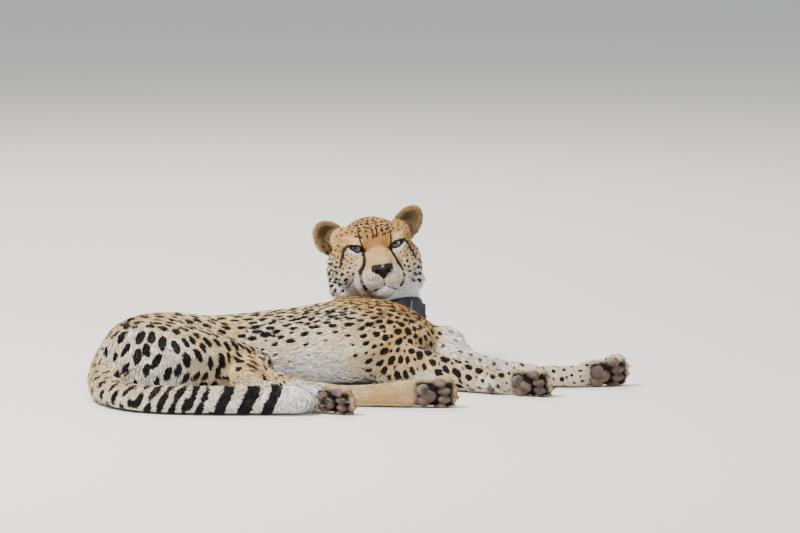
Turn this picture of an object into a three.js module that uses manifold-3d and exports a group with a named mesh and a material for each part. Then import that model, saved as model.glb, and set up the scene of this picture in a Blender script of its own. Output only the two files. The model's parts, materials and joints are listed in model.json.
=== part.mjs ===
// A cheetah lying at rest, life size, in millimetres with +Z up. It lies on its left side with
// both hind legs and both forelegs reaching forward (+X), the tail swept round in front (-Y) and
// the head lifted and turned over the right shoulder towards -Y. It wears a tracking collar.
import * as THREE from "three";
import { mergeVertices } from "three/addons/utils/BufferGeometryUtils.js";
import Module from "manifold-3d";

const wasm = await Module();
wasm.setup();

// ---- driving dimensions ------------------------------------------------------------------
const GAP = 0.4; // clearance left where two pieces of the body meet
const LIMB_SIDES = 9; // facets round a limb
const TRUNK_SIDES = 16; // facets round the trunk
const HEAD_SIDES = 16; // facets round the skull
const CAP_STEPS = 2; // rings in each rounded end
const STATURE = 1.06; // enlarges the whole drawing to a full-grown animal
const SINK = 5; // how far the resting parts press into the floor, which flattens them there

// ---- colours -------------------------------------------------------------------------------
const coat = (name, colour, roughness = 0.85) =>
  new THREE.MeshStandardMaterial({ name, color: colour, roughness, metalness: 0 });
const TAWNY = coat("tawny coat", 0xcfa468);
const PALE = coat("pale coat", 0xe6dcc8);
const EAR = coat("ear", 0x8a6a45);
const EYE = coat("eye", 0x6b4a22, 0.15);
const STRAP = coat("collar strap", 0x1c1e22, 0.6);
const CASE = coat("collar case", 0x23272e, 0.45);

// ---- solids from three.js geometry -----------------------------------------------------------
const V = (x, y, z) => new THREE.Vector3(x, y, z);

function solidOf(geometry) {
  const bare = geometry.clone();
  for (const name of Object.keys(bare.attributes)) {
    if (name !== "position") bare.deleteAttribute(name);
  }
  const merged = mergeVertices(bare, 1e-4);
  const triVerts = new Uint32Array(merged.index.array);
  const make = () =>
    new wasm.Manifold(
      new wasm.Mesh({
        numProp: 3,
        vertProperties: new Float32Array(merged.attributes.position.array),
        triVerts,
      }),
    );
  let made = make();
  if (made.volume() < 0) {
    for (let i = 0; i < triVerts.length; i += 3) {
      [triVerts[i + 1], triVerts[i + 2]] = [triVerts[i + 2], triVerts[i + 1]];
    }
    made = make();
  }
  return made;
}

function geometryOf(solid) {
  const mesh = solid.getMesh();
  const geometry = new THREE.BufferGeometry();
  geometry.setAttribute("position", new THREE.BufferAttribute(mesh.vertProperties, 3));
  geometry.setIndex(new THREE.BufferAttribute(mesh.triVerts, 1));
  geometry.computeVertexNormals();
  return geometry;
}

const join = (solids) => solids.reduce((a, b) => a.add(b));

// The largest single body of a solid: carving can leave crumbs beside it.
const largest = (solid) =>
  solid.decompose().reduce((a, b) => (a.volume() > b.volume() ? a : b));

// An oval ball: centre, three radii, and turns about X, Y and Z in degrees.
function ball(centre, radii, turn = [0, 0, 0], detail = [7, 5]) {
  return (grow) => {
    const g = new THREE.SphereGeometry(1, detail[0], detail[1]);
    g.scale(radii[0] + grow, radii[1] + grow, radii[2] + grow);
    const [a, b, c] = turn.map(THREE.MathUtils.degToRad);
    g.applyMatrix4(new THREE.Matrix4().makeRotationFromEuler(new THREE.Euler(a, b, c)));
    g.translate(...centre);
    return solidOf(g);
  };
}

// A rounded loft through stations [x, y, z, half width, half height]. The width lies level and
// square to the path, and the height stands up from it along the given up direction.
function loft(stations, { rings = 1, sides = LIMB_SIDES, up = V(0, 0, 1), bluntness = 0.8 } = {}) {
  return (grow) => {
    const path = new THREE.CatmullRomCurve3(stations.map((s) => V(s[0], s[1], s[2])), false, "centripetal");
    const size = new THREE.CatmullRomCurve3(stations.map((s) => V(s[3], s[4], 0)), false, "centripetal");
    const spans = stations.length - 1;
    const centres = [];
    const frameAt = (t) => {
      // getPoint counts stations evenly, so both curves pass a station at the same t
      const along = path.getTangent(t);
      const across = V().crossVectors(up, along).normalize();
      const above = V().crossVectors(along, across);
      const s = size.getPoint(t);
      return { at: path.getPoint(t), along, across, above, wide: s.x + grow, tall: s.y + grow };
    };
    const addRing = (f, shift, factor) =>
      centres.push({ ...f, at: f.at.clone().addScaledVector(f.along, shift), factor });
    const first = frameAt(0);
    const last = frameAt(1);
    const reach = (f) => bluntness * Math.min(f.wide, f.tall);
    for (let k = 1; k <= CAP_STEPS; k++) {
      const a = (k / (CAP_STEPS + 1)) * (Math.PI / 2);
      addRing(first, -reach(first) * Math.cos(a), Math.sin(a));
    }
    for (let k = 0; k <= spans * rings; k++) addRing(frameAt(k / (spans * rings)), 0, 1);
    for (let k = CAP_STEPS; k >= 1; k--) {
      const a = (k / (CAP_STEPS + 1)) * (Math.PI / 2);
      addRing(last, reach(last) * Math.cos(a), Math.sin(a));
    }
    const points = [];
    for (const c of centres) {
      for (let j = 0; j < sides; j++) {
        const a = (j / sides) * 2 * Math.PI;
        const p = c.at
          .clone()
          .addScaledVector(c.across, c.wide * c.factor * Math.cos(a))
          .addScaledVector(c.above, c.tall * c.factor * Math.sin(a));
        points.push(p.x, p.y, p.z);
      }
    }
    const tail = first.at.clone().addScaledVector(first.along, -reach(first));
    const nose = last.at.clone().addScaledVector(last.along, reach(last));
    points.push(tail.x, tail.y, tail.z, nose.x, nose.y, nose.z);
    const start = centres.length * sides;
    const faces = [];
    for (let j = 0; j < sides; j++) {
      const n = (j + 1) % sides;
      for (let i = 0; i < centres.length - 1; i++) {
        const a = i * sides;
        const b = a + sides;
        faces.push(a + j, a + n, b + n, a + j, b + n, b + j);
      }
      faces.push(start, n, j);
      faces.push(start + 1, start - sides + j, start - sides + n);
    }
    const g = new THREE.BufferGeometry();
    g.setAttribute("position", new THREE.Float32BufferAttribute(points, 3));
    g.setIndex(faces);
    return solidOf(g);
  };
}

const group = (...shapes) => (grow) => join(shapes.map((s) => s(grow)));

// A shape drawn in its own frame and carried to a place by a matrix.
const placed = (shape, matrix) => (grow) => {
  const g = geometryOf(shape(grow));
  g.applyMatrix4(matrix);
  return solidOf(g);
};

// ---- placing pieces: each new one is carved clear of those already there -----------------------
const model = new THREE.Group();
const ready = [];
const aboveFloor = solidOf(new THREE.BoxGeometry(3000, 3000, 400).translate(0, 0, 200 + SINK));

function place(name, shape, material) {
  let solid = shape(0).intersect(aboveFloor);
  for (const other of ready) {
    if (solid.intersect(other.solid).isEmpty() && solid.minGap(other.solid, GAP) >= GAP) continue;
    solid = solid.subtract(other.grown);
  }
  solid = largest(solid);
  ready.push({ name, solid, grown: shape(GAP) });
  const mesh = new THREE.Mesh(geometryOf(solid), material);
  mesh.name = name;
  model.add(mesh);
}

// The part of a shape on one side of a plane. The other side is made with the plane turned round,
// and each stands half the gap back from it.
const side = (shape, point, normal) => (grow) => {
  const n = V(...normal).normalize();
  return shape(grow).trimByPlane([n.x, n.y, n.z], n.dot(V(...point)) + (grow ? -GAP / 2 : GAP / 2));
};

// ---- collar case -------------------------------------------------------------------------------
// The case hangs on the throat side of the strap. It is placed first, because it is hard, and the
// throat and the shoulder give way to it.
const strapAt = V(64, 290, 96);
const strapAlong = V(-25, 35, 90).normalize();
const caseFrame = new THREE.Matrix4()
  .makeBasis(
    V().crossVectors(strapAlong, V(0.6, -0.8, 0)).normalize(),
    strapAlong,
    V(0.6, -0.8, 0).addScaledVector(strapAlong, -V(0.6, -0.8, 0).dot(strapAlong)).normalize(),
  )
  .setPosition(strapAt);
const CASE_SIZE = [30, 36, 22];
const CASE_TILT = -20; // degrees, as it hangs askew on the strap
const CASE_AT = [3, -13, 57]; // across, along and out from the middle of the strap
const caseShape = (grow) => {
  const g = new THREE.BoxGeometry(...CASE_SIZE.map((v) => v + 2 * grow));
  g.rotateZ(THREE.MathUtils.degToRad(CASE_TILT));
  g.translate(...CASE_AT);
  g.applyMatrix4(caseFrame);
  return solidOf(g);
};
place("collar_case", caseShape, CASE);

// ---- trunk -----------------------------------------------------------------------------------
// The spine runs from the rump, away and to the right, then bends forward along +X.
const trunk = group(
  loft(
    [
      [-372, -45, 64, 58, 58],
      [-352, 5, 68, 78, 66],
      [-308, 72, 66, 94, 67],
      [-240, 126, 59, 92, 60],
      [-160, 152, 61, 98, 61],
      [-80, 164, 65, 116, 65],
      [-5, 178, 70, 130, 70],
      [48, 194, 69, 120, 68],
      [88, 216, 58, 90, 54],
      [112, 232, 48, 58, 42],
    ],
    { sides: TRUNK_SIDES, rings: 2 },
  ),
  ball([-330, 20, 82], [66, 82, 56], [0, 0, 40], [10, 7]), // gluteal muscles over the upper hip
  ball([0, 240, 90], [80, 54, 51], [0, 0, 10], [10, 7]), // upper shoulder blade and withers
);
const HIP_CUT = [-262, 105, 60];
const RIB_CUT = [-118, 150, 60];
const loinEnd = [0.86, 0.5, 0];
const ribEnd = [0.98, 0.18, 0];
place("rump", side(trunk, HIP_CUT, loinEnd.map((v) => -v)), TAWNY);
place("loin", side(side(trunk, HIP_CUT, loinEnd), RIB_CUT, ribEnd.map((v) => -v)), TAWNY);

// The right upper arm lies folded against the ribs under the same hide, so it is part of the chest.
const upperArmRight = loft([
  [86, 236, 72, 50, 38],
  [96, 214, 70, 43, 38],
  [86, 168, 66, 50, 48],
  [48, 126, 52, 42, 42],
  [34, 110, 46, 34, 36],
]);
place("chest", group(side(trunk, RIB_CUT, ribEnd), upperArmRight), TAWNY);

// ---- neck ------------------------------------------------------------------------------------
// It rises from between the shoulders and leans back, and its top is socketed in the skull.
const NECK = [
  [80, 250, 66, 47, 44],
  [70, 274, 88, 47, 46],
  [58, 304, 118, 50, 50],
  [40, 334, 150, 50, 50],
  [28, 350, 178, 46, 44],
];
const neck = loft(NECK, { rings: 1, sides: 14 });
place("neck", neck, TAWNY);

// ---- head ------------------------------------------------------------------------------------
// Drawn with x to the animal's left, y towards the back of the skull and z up, from the point
// midway between the eyes, then turned to look over the shoulder.
const HEAD_AT = V(34, 282, 218);
const HEAD_YAW = THREE.MathUtils.degToRad(9);
const HEAD_LIFT = THREE.MathUtils.degToRad(4);
const HEAD_ROLL = THREE.MathUtils.degToRad(6);
const EYE_APART = 34; // each eye's centre from the middle of the face
const EYE_RADIUS = 15.5;

const gaze = V(Math.sin(HEAD_YAW), -Math.cos(HEAD_YAW) * Math.cos(HEAD_LIFT), Math.sin(HEAD_LIFT)).normalize();
const level = V().crossVectors(V(0, 0, 1), gaze).normalize();
const upright = V().crossVectors(gaze, level).normalize();
const leftward = level.clone().multiplyScalar(Math.cos(HEAD_ROLL)).addScaledVector(upright, Math.sin(HEAD_ROLL));
const headUp = V().crossVectors(gaze, leftward).normalize();
const headFrame = new THREE.Matrix4()
  .makeBasis(leftward, gaze.clone().negate(), headUp)
  .setPosition(HEAD_AT);
const both = (make) => [make(-1), make(1)];

const skull = loft(
  [
    [0, 104, 0, 36, 30],
    [0, 84, -4, 54, 48],
    [0, 54, -6, 63, 61],
    [0, 30, -10, 60, 59],
    [0, 16, -13, 50, 51],
  ],
  { sides: HEAD_SIDES, rings: 1, bluntness: 0.35 },
);
const muzzle = loft(
  [
    [0, 20, -30, 44, 42],
    [0, -8, -34, 32, 36],
    [0, -26, -42, 28, 33],
    [0, -42, -49, 27, 28],
  ],
  { sides: 12, rings: 1, bluntness: 0.5 },
);
const face = group(
  skull,
  muzzle,
  ...both((s) => ball([s * 54, 36, -42], [31, 36, 45], [0, s * 14, 0], [9, 6])), // cheek ruff
  ...both((s) => ball([s * 52, 37, -63], [32, 30, 28], [0, 0, 0], [9, 6])), // ruff under the jaw
  ...both((s) => ball([s * 40, 22, -6], [27, 21, 29])), // socket round the eye
  ...both((s) => ball([s * 30, 10, 21], [21, 14, 9], [0, s * 14, 0])), // brow over the eye
  ...both((s) => ball([s * 16, -38, -53], [20, 22, 18])), // whisker pad
  ball([0, -28, -20], [16, 31, 14], [27, 0, 0]), // bridge of the nose
  ball([0, -53, -35], [18, 10, 13]), // nose pad
  ball([0, -33, -71], [20, 20, 13]), // chin
);
const eye = (s) => ball([s * EYE_APART, 4, 0], [EYE_RADIUS, EYE_RADIUS, EYE_RADIUS], [0, 0, 0], [10, 7]);
place("eye_right", placed(eye(-1), headFrame), EYE);
place("eye_left", placed(eye(1), headFrame), EYE);
place("head", placed(face, headFrame), TAWNY);

// A rounded ear, a thick leaf with a hollow in its front. The right one is turned out and down.
const ear = (s, drop) => (grow) => {
  const leaf = ball([s * 68, 66, 33 - drop], [27, 11, 33], [8, s * 42, s * -16], [10, 6])(grow);
  const hollow = ball([s * 69, 52, 36 - drop], [20, 14, 25], [8, s * 42, s * -16], [8, 5])(-grow);
  return leaf.subtract(hollow);
};
place("ear_right", placed(ear(-1, 13), headFrame), EAR);
place("ear_left", placed(ear(1, 2), headFrame), EAR);

// ---- collar ----------------------------------------------------------------------------------
const STRAP_THICK = 4.5;
const STRAP_WIDE = 36;
const strapShape = (grow) => {
  const thicker = loft(NECK.map((s) => [s[0], s[1], s[2], s[3] + STRAP_THICK, s[4] + STRAP_THICK]), {
    rings: 1,
    sides: 14,
  })(grow);
  const half = STRAP_WIDE / 2 + grow;
  return thicker
    .trimByPlane(strapAlong.toArray(), strapAlong.dot(strapAt) - half)
    .trimByPlane(strapAlong.clone().negate().toArray(), -strapAlong.dot(strapAt) - half);
};

place("collar_strap", strapShape, STRAP);

// ---- paws ------------------------------------------------------------------------------------------
// Drawn with x towards the toes, z up off the sole and the wrist end at the origin.
function paw(size) {
  const toes = [-1.5, -0.5, 0.5, 1.5].map((k) => {
    const reach = 66 - 5 * Math.abs(k) ** 1.5;
    return ball([reach, k * 14.5, -1], [21, 9.5, 14], [0, 10, k * 5], [6, 4]);
  });
  const shape = group(
    ball([22, 0, 2], [44, 25, 18], [0, 0, 0], [8, 5]), // back of the paw
    ball([32, 0, -10], [21, 21, 9], [0, 0, 0], [6, 4]), // main pad
    ...toes,
  );
  return placed(shape, new THREE.Matrix4().makeScale(size, size, size));
}
function aim(at, toes, top) {
  const x = V(...toes).normalize();
  const z = V(...top).addScaledVector(x, -V(...top).dot(x)).normalize();
  return new THREE.Matrix4().makeBasis(x, V().crossVectors(z, x), z).setPosition(...at);
}

// ---- right hind leg, the upper one ------------------------------------------------------------------
place(
  "thigh_right",
  group(
    loft([
      [-352, -40, 78, 70, 56],
      [-300, -42, 72, 84, 58],
      [-236, -18, 62, 66, 50],
      [-182, -2, 50, 42, 38],
      [-163, 0, 45, 34, 34],
    ]),
    ball([-345, -70, 52], [66, 56, 52], [0, 0, 0], [9, 6]),
  ),
  TAWNY,
);
place(
  "shank_right",
  loft([
    [-172, -6, 44, 34, 32],
    [-180, -60, 44, 36, 30],
    [-176, -112, 38, 24, 22],
    [-172, -144, 34, 19, 19],
  ]),
  TAWNY,
);
place(
  "hind_foot_right",
  loft([
    [-196, -146, 33, 16, 17],
    [-168, -158, 34, 19, 19],
    [-120, -184, 29, 18, 17],
    [-84, -206, 28, 21, 19],
    [-64, -218, 29, 24, 20],
  ]),
  PALE,
);
place("hind_paw_right", placed(paw(0.94), aim([-64, -231, 30], [0.86, -0.48, -0.06], [0.25, 0.92, 0.3])), PALE);

// ---- left hind leg, underneath -----------------------------------------------------------------------
place(
  "thigh_left",
  loft([
    [-330, -30, 44, 62, 42],
    [-270, 0, 38, 56, 38],
    [-215, 34, 34, 40, 34],
  ]),
  TAWNY,
);
place(
  "shank_left",
  loft([
    [-214, 26, 34, 36, 32],
    [-165, -30, 30, 34, 28],
    [-118, -92, 27, 24, 23],
    [-92, -122, 26, 20, 20],
  ]),
  PALE,
);
place(
  "hind_foot_left",
  loft([
    [-104, -134, 25, 16, 18],
    [-72, -142, 26, 19, 20],
    [-20, -152, 21, 18, 19],
    [50, -160, 23, 20, 21],
    [88, -164, 26, 22, 25],
  ]),
  PALE,
);
place("hind_paw_left", placed(paw(1), aim([90, -165, 28], [0.99, -0.08, 0.02], [0.05, 0.96, 0.22])), PALE);

// ---- right foreleg, the upper one ----------------------------------------------------------------------
place(
  "forearm_right",
  loft([
    [36, 108, 44, 36, 36],
    [100, 72, 42, 32, 36],
    [180, 24, 30, 22, 26],
    [240, -8, 25, 20, 22],
  ]),
  TAWNY,
);
place(
  "forepaw_right",
  placed(paw(1), aim([256, -16, 26], [0.92, -0.38, 0.02], [0.22, 0.92, 0.34])),
  PALE,
);

// ---- left foreleg, underneath ---------------------------------------------------------------------------
place(
  "upper_arm_left",
  group(
    loft([
      [92, 246, 44, 48, 42],
      [140, 200, 50, 46, 44],
      [168, 140, 40, 38, 36],
    ]),
    ball([146, 192, 54], [44, 46, 42], [0, 0, 0], [8, 6]),
  ),
  PALE,
);
place(
  "forearm_left",
  loft([
    [166, 128, 36, 36, 33],
    [228, 96, 28, 28, 26],
    [310, 84, 22, 21, 20],
    [372, 82, 22, 20, 20],
  ]),
  PALE,
);
place(
  "forepaw_left",
  placed(paw(1), aim([380, 82, 25], [0.96, 0.22, 0.1], [0.1, 0.9, 0.34])),
  PALE,
);

// ---- tail -------------------------------------------------------------------------------------------------
const tail = loft(
  [
    [-380, 120, 74, 32, 30],
    [-408, 55, 58, 28, 27],
    [-420, -45, 31, 26, 26],
    [-404, -150, 26, 25, 25],
    [-354, -224, 26, 25, 25],
    [-270, -251, 26, 25, 25],
    [-170, -254, 26, 25, 25],
    [-108, -251, 27, 27, 27],
    [-92, -250, 28, 26, 27],
  ],
  { rings: 2, sides: 10 },
);
const MID_CUT = [-418, -95, 28];
const TIP_CUT = [-240, -253, 26];
place("tail_base", side(side(tail, MID_CUT, [-0.1, 1, 0]), [-300, 0, 0], [-1, 0, 0]), TAWNY);
place("tail_middle", side(side(tail, MID_CUT, [0.1, -1, 0]), TIP_CUT, [-1, 0, 0]), PALE);
place("tail_tip", side(side(tail, TIP_CUT, [1, 0, 0]), [-300, -150, 0], [0, -1, 0]), PALE);

// ---- frame: the origin is under the middle of the body, on the floor ------------------------------
model.scale.setScalar(STATURE);
const bounds = new THREE.Box3().setFromObject(model);
model.position.set(
  -(bounds.min.x + bounds.max.x) / 2,
  -(bounds.min.y + bounds.max.y) / 2,
  -bounds.min.z,
);

export default model;
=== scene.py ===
# %% [markdown]
# # A resting cheetah
# A life-size cheetah lies on its side and looks at us. The CAD solids give its place and size. Here
# they become one skin with a spotted coat, with eyes, a nose, pads and claws set into it. We start by
# loading the solids.

# %% Load the frame
import heapq
import json
import math
import bpy
import numpy as np
from mathutils import Matrix, Vector, kdtree

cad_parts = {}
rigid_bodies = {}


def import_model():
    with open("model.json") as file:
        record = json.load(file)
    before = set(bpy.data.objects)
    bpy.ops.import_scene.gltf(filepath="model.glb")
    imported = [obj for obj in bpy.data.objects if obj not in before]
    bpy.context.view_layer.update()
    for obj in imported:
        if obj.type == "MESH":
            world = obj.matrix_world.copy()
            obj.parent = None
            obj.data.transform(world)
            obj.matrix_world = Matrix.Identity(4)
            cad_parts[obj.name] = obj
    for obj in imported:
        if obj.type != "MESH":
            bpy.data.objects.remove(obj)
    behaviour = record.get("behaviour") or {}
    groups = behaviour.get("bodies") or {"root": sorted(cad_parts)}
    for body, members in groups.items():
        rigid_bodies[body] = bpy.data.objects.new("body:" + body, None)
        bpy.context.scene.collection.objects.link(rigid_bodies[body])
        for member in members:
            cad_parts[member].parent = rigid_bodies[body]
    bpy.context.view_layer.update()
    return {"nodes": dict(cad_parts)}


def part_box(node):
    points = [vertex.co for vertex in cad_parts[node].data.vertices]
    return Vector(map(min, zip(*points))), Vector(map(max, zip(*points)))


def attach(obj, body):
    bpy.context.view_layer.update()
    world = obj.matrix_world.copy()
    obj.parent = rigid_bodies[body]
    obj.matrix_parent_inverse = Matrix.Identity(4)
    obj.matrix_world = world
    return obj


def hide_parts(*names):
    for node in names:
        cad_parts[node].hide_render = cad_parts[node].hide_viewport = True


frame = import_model()
nodes = frame["nodes"]
random = np.random.default_rng(11)

# %% [markdown]
# The solids were drawn in millimetres and then enlarged to a grown animal's stature. The point midway
# between the eyes ties that drawing to the frame, so every later place is given in the drawing's
# millimetres and turned to metres by one small function. The head is turned and tilted, so it has
# millimetres of its own, counted from between the eyes.

# %% From the drawing to the frame
STATURE = 1.06
MM = 0.001 * STATURE
HEAD_AT = np.array([34.0, 282.0, 218.0])  # between the eyes, on the drawing
EYE_SET = 4.0  # how far the eyeballs' middles lie behind that
YAW, LIFT, ROLL = (math.radians(a) for a in (9, 4, 6))
gaze = Vector((math.sin(YAW), -math.cos(YAW) * math.cos(LIFT), math.sin(LIFT))).normalized()
level = Vector((0, 0, 1)).cross(gaze).normalized()
leftward = level * math.cos(ROLL) + gaze.cross(level) * math.sin(ROLL)
crown = gaze.cross(leftward).normalized()
middle = [(a + b) / 2 for n in ("eye_left", "eye_right") for a, b in [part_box(n)]]
between_eyes = np.array((middle[0] + middle[1]) / 2)
SHIFT = between_eyes - MM * (HEAD_AT - EYE_SET * np.array(gaze))
HEAD = np.array([leftward, -gaze, crown])


def at(p):
    """Points of the drawing, in its millimetres, as points of the frame in metres."""
    return np.asarray(p, float) * MM + SHIFT


def at_head(p):
    """Points given from between the eyes: x to the animal's left, y back, z up, in millimetres."""
    return (np.asarray(p, float) @ HEAD + HEAD_AT) * MM + SHIFT


head_axes = Matrix(np.column_stack([HEAD.T, at_head((0, 0, 0))]).tolist() + [[0, 0, 0, 1]])
HEAD_TO_FRAME = head_axes @ Matrix.Scale(MM, 4)
print("between the eyes:", np.round(at_head((0, 0, 0)), 3), "shift:", np.round(SHIFT, 4))

# %% [markdown]
# The camera stands far off with a long lens, as for a wary animal, so the body is hardly foreshortened.
# It looks straight across the ground from a little above.

# %% Camera
DISTANCE = 16 * STATURE
LONG_LENS = 432
HEIGHT_ANGLE = math.radians(7)
aim = Vector(at((75.0, 0.0, 218.6)).tolist())
view_line = Vector((0, math.cos(HEIGHT_ANGLE), -math.sin(HEIGHT_ANGLE)))
bpy.ops.object.camera_add(location=aim - view_line * DISTANCE)
camera = bpy.context.object
camera.name = "camera"
camera.rotation_euler = view_line.to_track_quat("-Z", "Y").to_euler()
camera.data.lens = LONG_LENS
camera.data.clip_end = 200
bpy.context.scene.camera = camera
print("camera at", [round(v, 2) for v in camera.location])

# %% [markdown]
# Materials are built from nodes. A colour is written as a hex value, as a painter would pick it on the
# screen, and one function turns it into the linear light that shaders work in.

# %% Colours
BLACK, WHITE = (0, 0, 0, 1), (1, 1, 1, 1)


def linear(hex_colour):
    """An sRGB hex colour as the linear RGBA that shaders work in."""
    parts = [int(hex_colour[i:i + 2], 16) / 255 for i in (1, 3, 5)]
    return [v / 12.92 if v <= 0.04045 else ((v + 0.055) / 1.055) ** 2.4 for v in parts] + [1.0]


print("a mid grey is", round(linear("#808080")[0], 3), "in linear light")

# %% [markdown]
# One function adds a node and wires it up, which keeps the long chains of the coat readable. A
# pattern's scale is given by the real size of its grain in millimetres.


# %% Nodes
def feed(node, inputs):
    """Gives inputs, by name or number, a value each or the socket of another node."""
    for key, value in dict(inputs).items():
        if hasattr(value, "links"):
            node.id_data.links.new(value, node.inputs[key])
        else:
            node.inputs[key].default_value = value


def add_node(tree, kind, inputs=(), settings=(), stops=(), out=0):
    """Adds a shader node with its inputs, settings and a ramp's stops, and gives back one output."""
    made = tree.nodes.new("ShaderNode" + kind)
    for key, value in dict(settings).items():
        setattr(made, key, value)
    feed(made, inputs)
    for _ in stops[2:]:
        made.color_ramp.elements.new(0.5)
    for k, (place, colour) in enumerate(stops):
        made.color_ramp.elements[k].position = place
        made.color_ramp.elements[k].color = linear(colour) if isinstance(colour, str) else colour
    return made.outputs[out]


def new_material(name, **values):
    """A material, its node tree and its shader, with values such as roughness already set."""
    made = bpy.data.materials.new(name)
    made.use_nodes = True
    shader = made.node_tree.nodes["Principled BSDF"]
    feed(shader, {key.replace("_", " "): value for key, value in values.items()})
    return made, made.node_tree, shader


def repeats(millimetres):
    """The scale of a pattern whose features are that far apart."""
    return 1000 / millimetres


print("a grain of 2 mm has the scale", repeats(2))

# %% [markdown]
# Meshes are shaped by Blender's own operators, which act on whatever is selected. So each helper here
# first selects just what it needs, and nothing that an earlier step left selected is touched.


# %% Selecting and joining
def clear():
    for o in bpy.context.view_layer.objects:
        o.select_set(False)


def only(thing):
    clear()
    thing.select_set(True)
    bpy.context.view_layer.objects.active = thing
    return thing


def join(parts, name):
    """Makes one object of several."""
    clear()
    for part in parts:
        part.select_set(True)
    bpy.context.view_layer.objects.active = parts[0]
    if len(parts) > 1:
        bpy.ops.object.join()
    made = only(bpy.context.object)
    made.name = name
    return made


print("solids to work from:", len(nodes))

# %% [markdown]
# Two ways of shaping come up again and again: a few edit-mode steps on a whole mesh, and a modifier
# that is added and applied at once. What they made is read back as arrays, for work on all points.

# %% Shaping and reading
MERGE = (bpy.ops.mesh.remove_doubles, {"threshold": 1e-5})
OUTWARD = (bpy.ops.mesh.normals_make_consistent, {"inside": False})


def edit(thing, *steps):
    """Runs edit-mode operators, each with its settings, on the whole of a mesh."""
    only(thing)
    bpy.ops.object.mode_set(mode="EDIT")
    bpy.ops.mesh.select_all(action="SELECT")
    for operator, settings in steps:
        operator(**settings)
    bpy.ops.object.mode_set(mode="OBJECT")
    return thing


def modify(thing, kind, **settings):
    """Adds a modifier with its settings and applies it."""
    only(thing)
    made = thing.modifiers.new(kind.lower(), kind)
    for key, value in settings.items():
        setattr(made, key, value)
    bpy.ops.object.modifier_apply(modifier=made.name)
    return thing


def numbers(items, name, width, kind=float):
    """One property of all of a mesh's points, edges or triangles, as rows of numbers."""
    found = np.zeros(len(items) * width, kind)
    items.foreach_get(name, found)
    return found.reshape(-1, width)


def points_of(thing):
    return numbers(thing.data.vertices, "co", 3)


print("points of the head's solid:", len(points_of(nodes["head"])))

# %% [markdown]
# The floor is a wide pale sheet of paper. A large soft light stands high on the left, with a weaker
# one on the right and one behind that draws out the edge of the fur. The room adds a cool, even light.

# %% Floor and lights
clear()
bpy.ops.mesh.primitive_plane_add(size=90, location=(0, 20, 0))
floor = bpy.context.object
floor.name = "floor"
paper, tree, shader = new_material("backdrop_paper", Roughness=0.9, Base_Color=linear("#D9D6D0"))
floor.data.materials.append(paper)

for name, place, size, power in (
    ("key", (-1.9, -1.4, 3.6), 1.3, 430),
    ("fill", (3.0, -2.8, 2.0), 2.6, 70),
    ("rim", (-0.6, 3.2, 2.8), 2.0, 150),
):
    bpy.ops.object.light_add(type="AREA", location=place)
    light = bpy.context.object
    light.name = name
    light.data.size = size
    light.data.energy = power
    light.data.color = (1.0, 0.96, 0.9)
    light.rotation_euler = (Vector((0, 0, 0.1)) - light.location).to_track_quat("-Z", "Y").to_euler()
world = bpy.data.worlds.new("studio")
world.use_nodes = True
feed(world.node_tree.nodes["Background"], {"Color": (0.87, 0.93, 1.0, 1), "Strength": 0.66})
bpy.context.scene.world = world
print("floor and three soft lights")

# %% [markdown]
# The skin covers the whole body in one mesh. Each CAD solid of flesh is copied, the copies are joined,
# and a voxel remesh melts them into one surface, as clay pressed together. The head needs finer clay
# than the body, so it is built apart and meets the body under the collar, where no seam can show.

# %% The body's clay
BODY = ["rump", "loin", "chest", "thigh_right", "shank_right", "hind_foot_right", "thigh_left",
        "shank_left", "hind_foot_left", "forearm_right", "upper_arm_left", "forearm_left",
        "tail_base", "tail_middle", "tail_tip"]
PAWS = ["hind_paw_right", "hind_paw_left", "forepaw_right", "forepaw_left"]
BODY_GRAIN = 0.0046  # the remesh's voxel, in metres
strap_at = np.array(at((64.0, 290.0, 96.0)))
strap_along = Vector((-25, 35, 90)).normalized()


def copies(names, title):
    """One object that holds a merged copy of each of those CAD solids."""
    twins = [bpy.data.objects.new(title, nodes[name].data.copy()) for name in names]
    for twin in twins:
        bpy.context.collection.objects.link(twin)
    return edit(join(twins[::-1], title), MERGE)


def halve(thing, keep_above):
    """Cuts a closed mesh at the middle of the collar and closes it there."""
    return edit(thing, (bpy.ops.mesh.bisect, {
        "plane_co": strap_at, "plane_no": strap_along, "use_fill": True,
        "clear_inner": keep_above, "clear_outer": not keep_above}))


skin = join([copies(BODY + PAWS, "body"), halve(copies(["neck"], "neck_low"), False)], "body")
modify(skin, "DISPLACE", strength=0.0022, mid_level=0)  # swells the solids until they touch
modify(skin, "REMESH", mode="VOXEL", voxel_size=BODY_GRAIN)
print("body clay", len(skin.data.polygons), "faces")

# %% [markdown]
# Facets are rubbed down where the body is broad, and less on the thin limbs, the tail and the paws, or
# they would waste away. A weight from 0 to 1 on each point tells the Smooth modifier how much. A last
# pass sinks the skin by the depth of the coat, and lifts what sank below the floor.

# %% Rub down and sink
THIN = [  # places where little is rubbed off: centre and reach in millimetres of the drawing
    ((-35, -250, 28), 75), ((128, -172, 28), 78), ((300, -34, 26), 70), ((425, 92, 26), 70),
]
COAT_DEPTH = 0.0036


def weigh(thing, name, weights):
    """Stores a weight for each point as a vertex group, in ten steps."""
    group = thing.vertex_groups.new(name=name)
    for step in range(1, 11):
        chosen = np.flatnonzero(np.clip(np.round(weights * 10), 0, 10) == step)
        group.add(chosen.tolist(), step / 10, "REPLACE")


def keep_above_floor(thing, height):
    """Presses what sank below the floor back up to it."""
    co = points_of(thing)
    co[:, 2] = np.maximum(co[:, 2], height)
    thing.data.vertices.foreach_set("co", co.ravel())
    thing.data.update()


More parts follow.
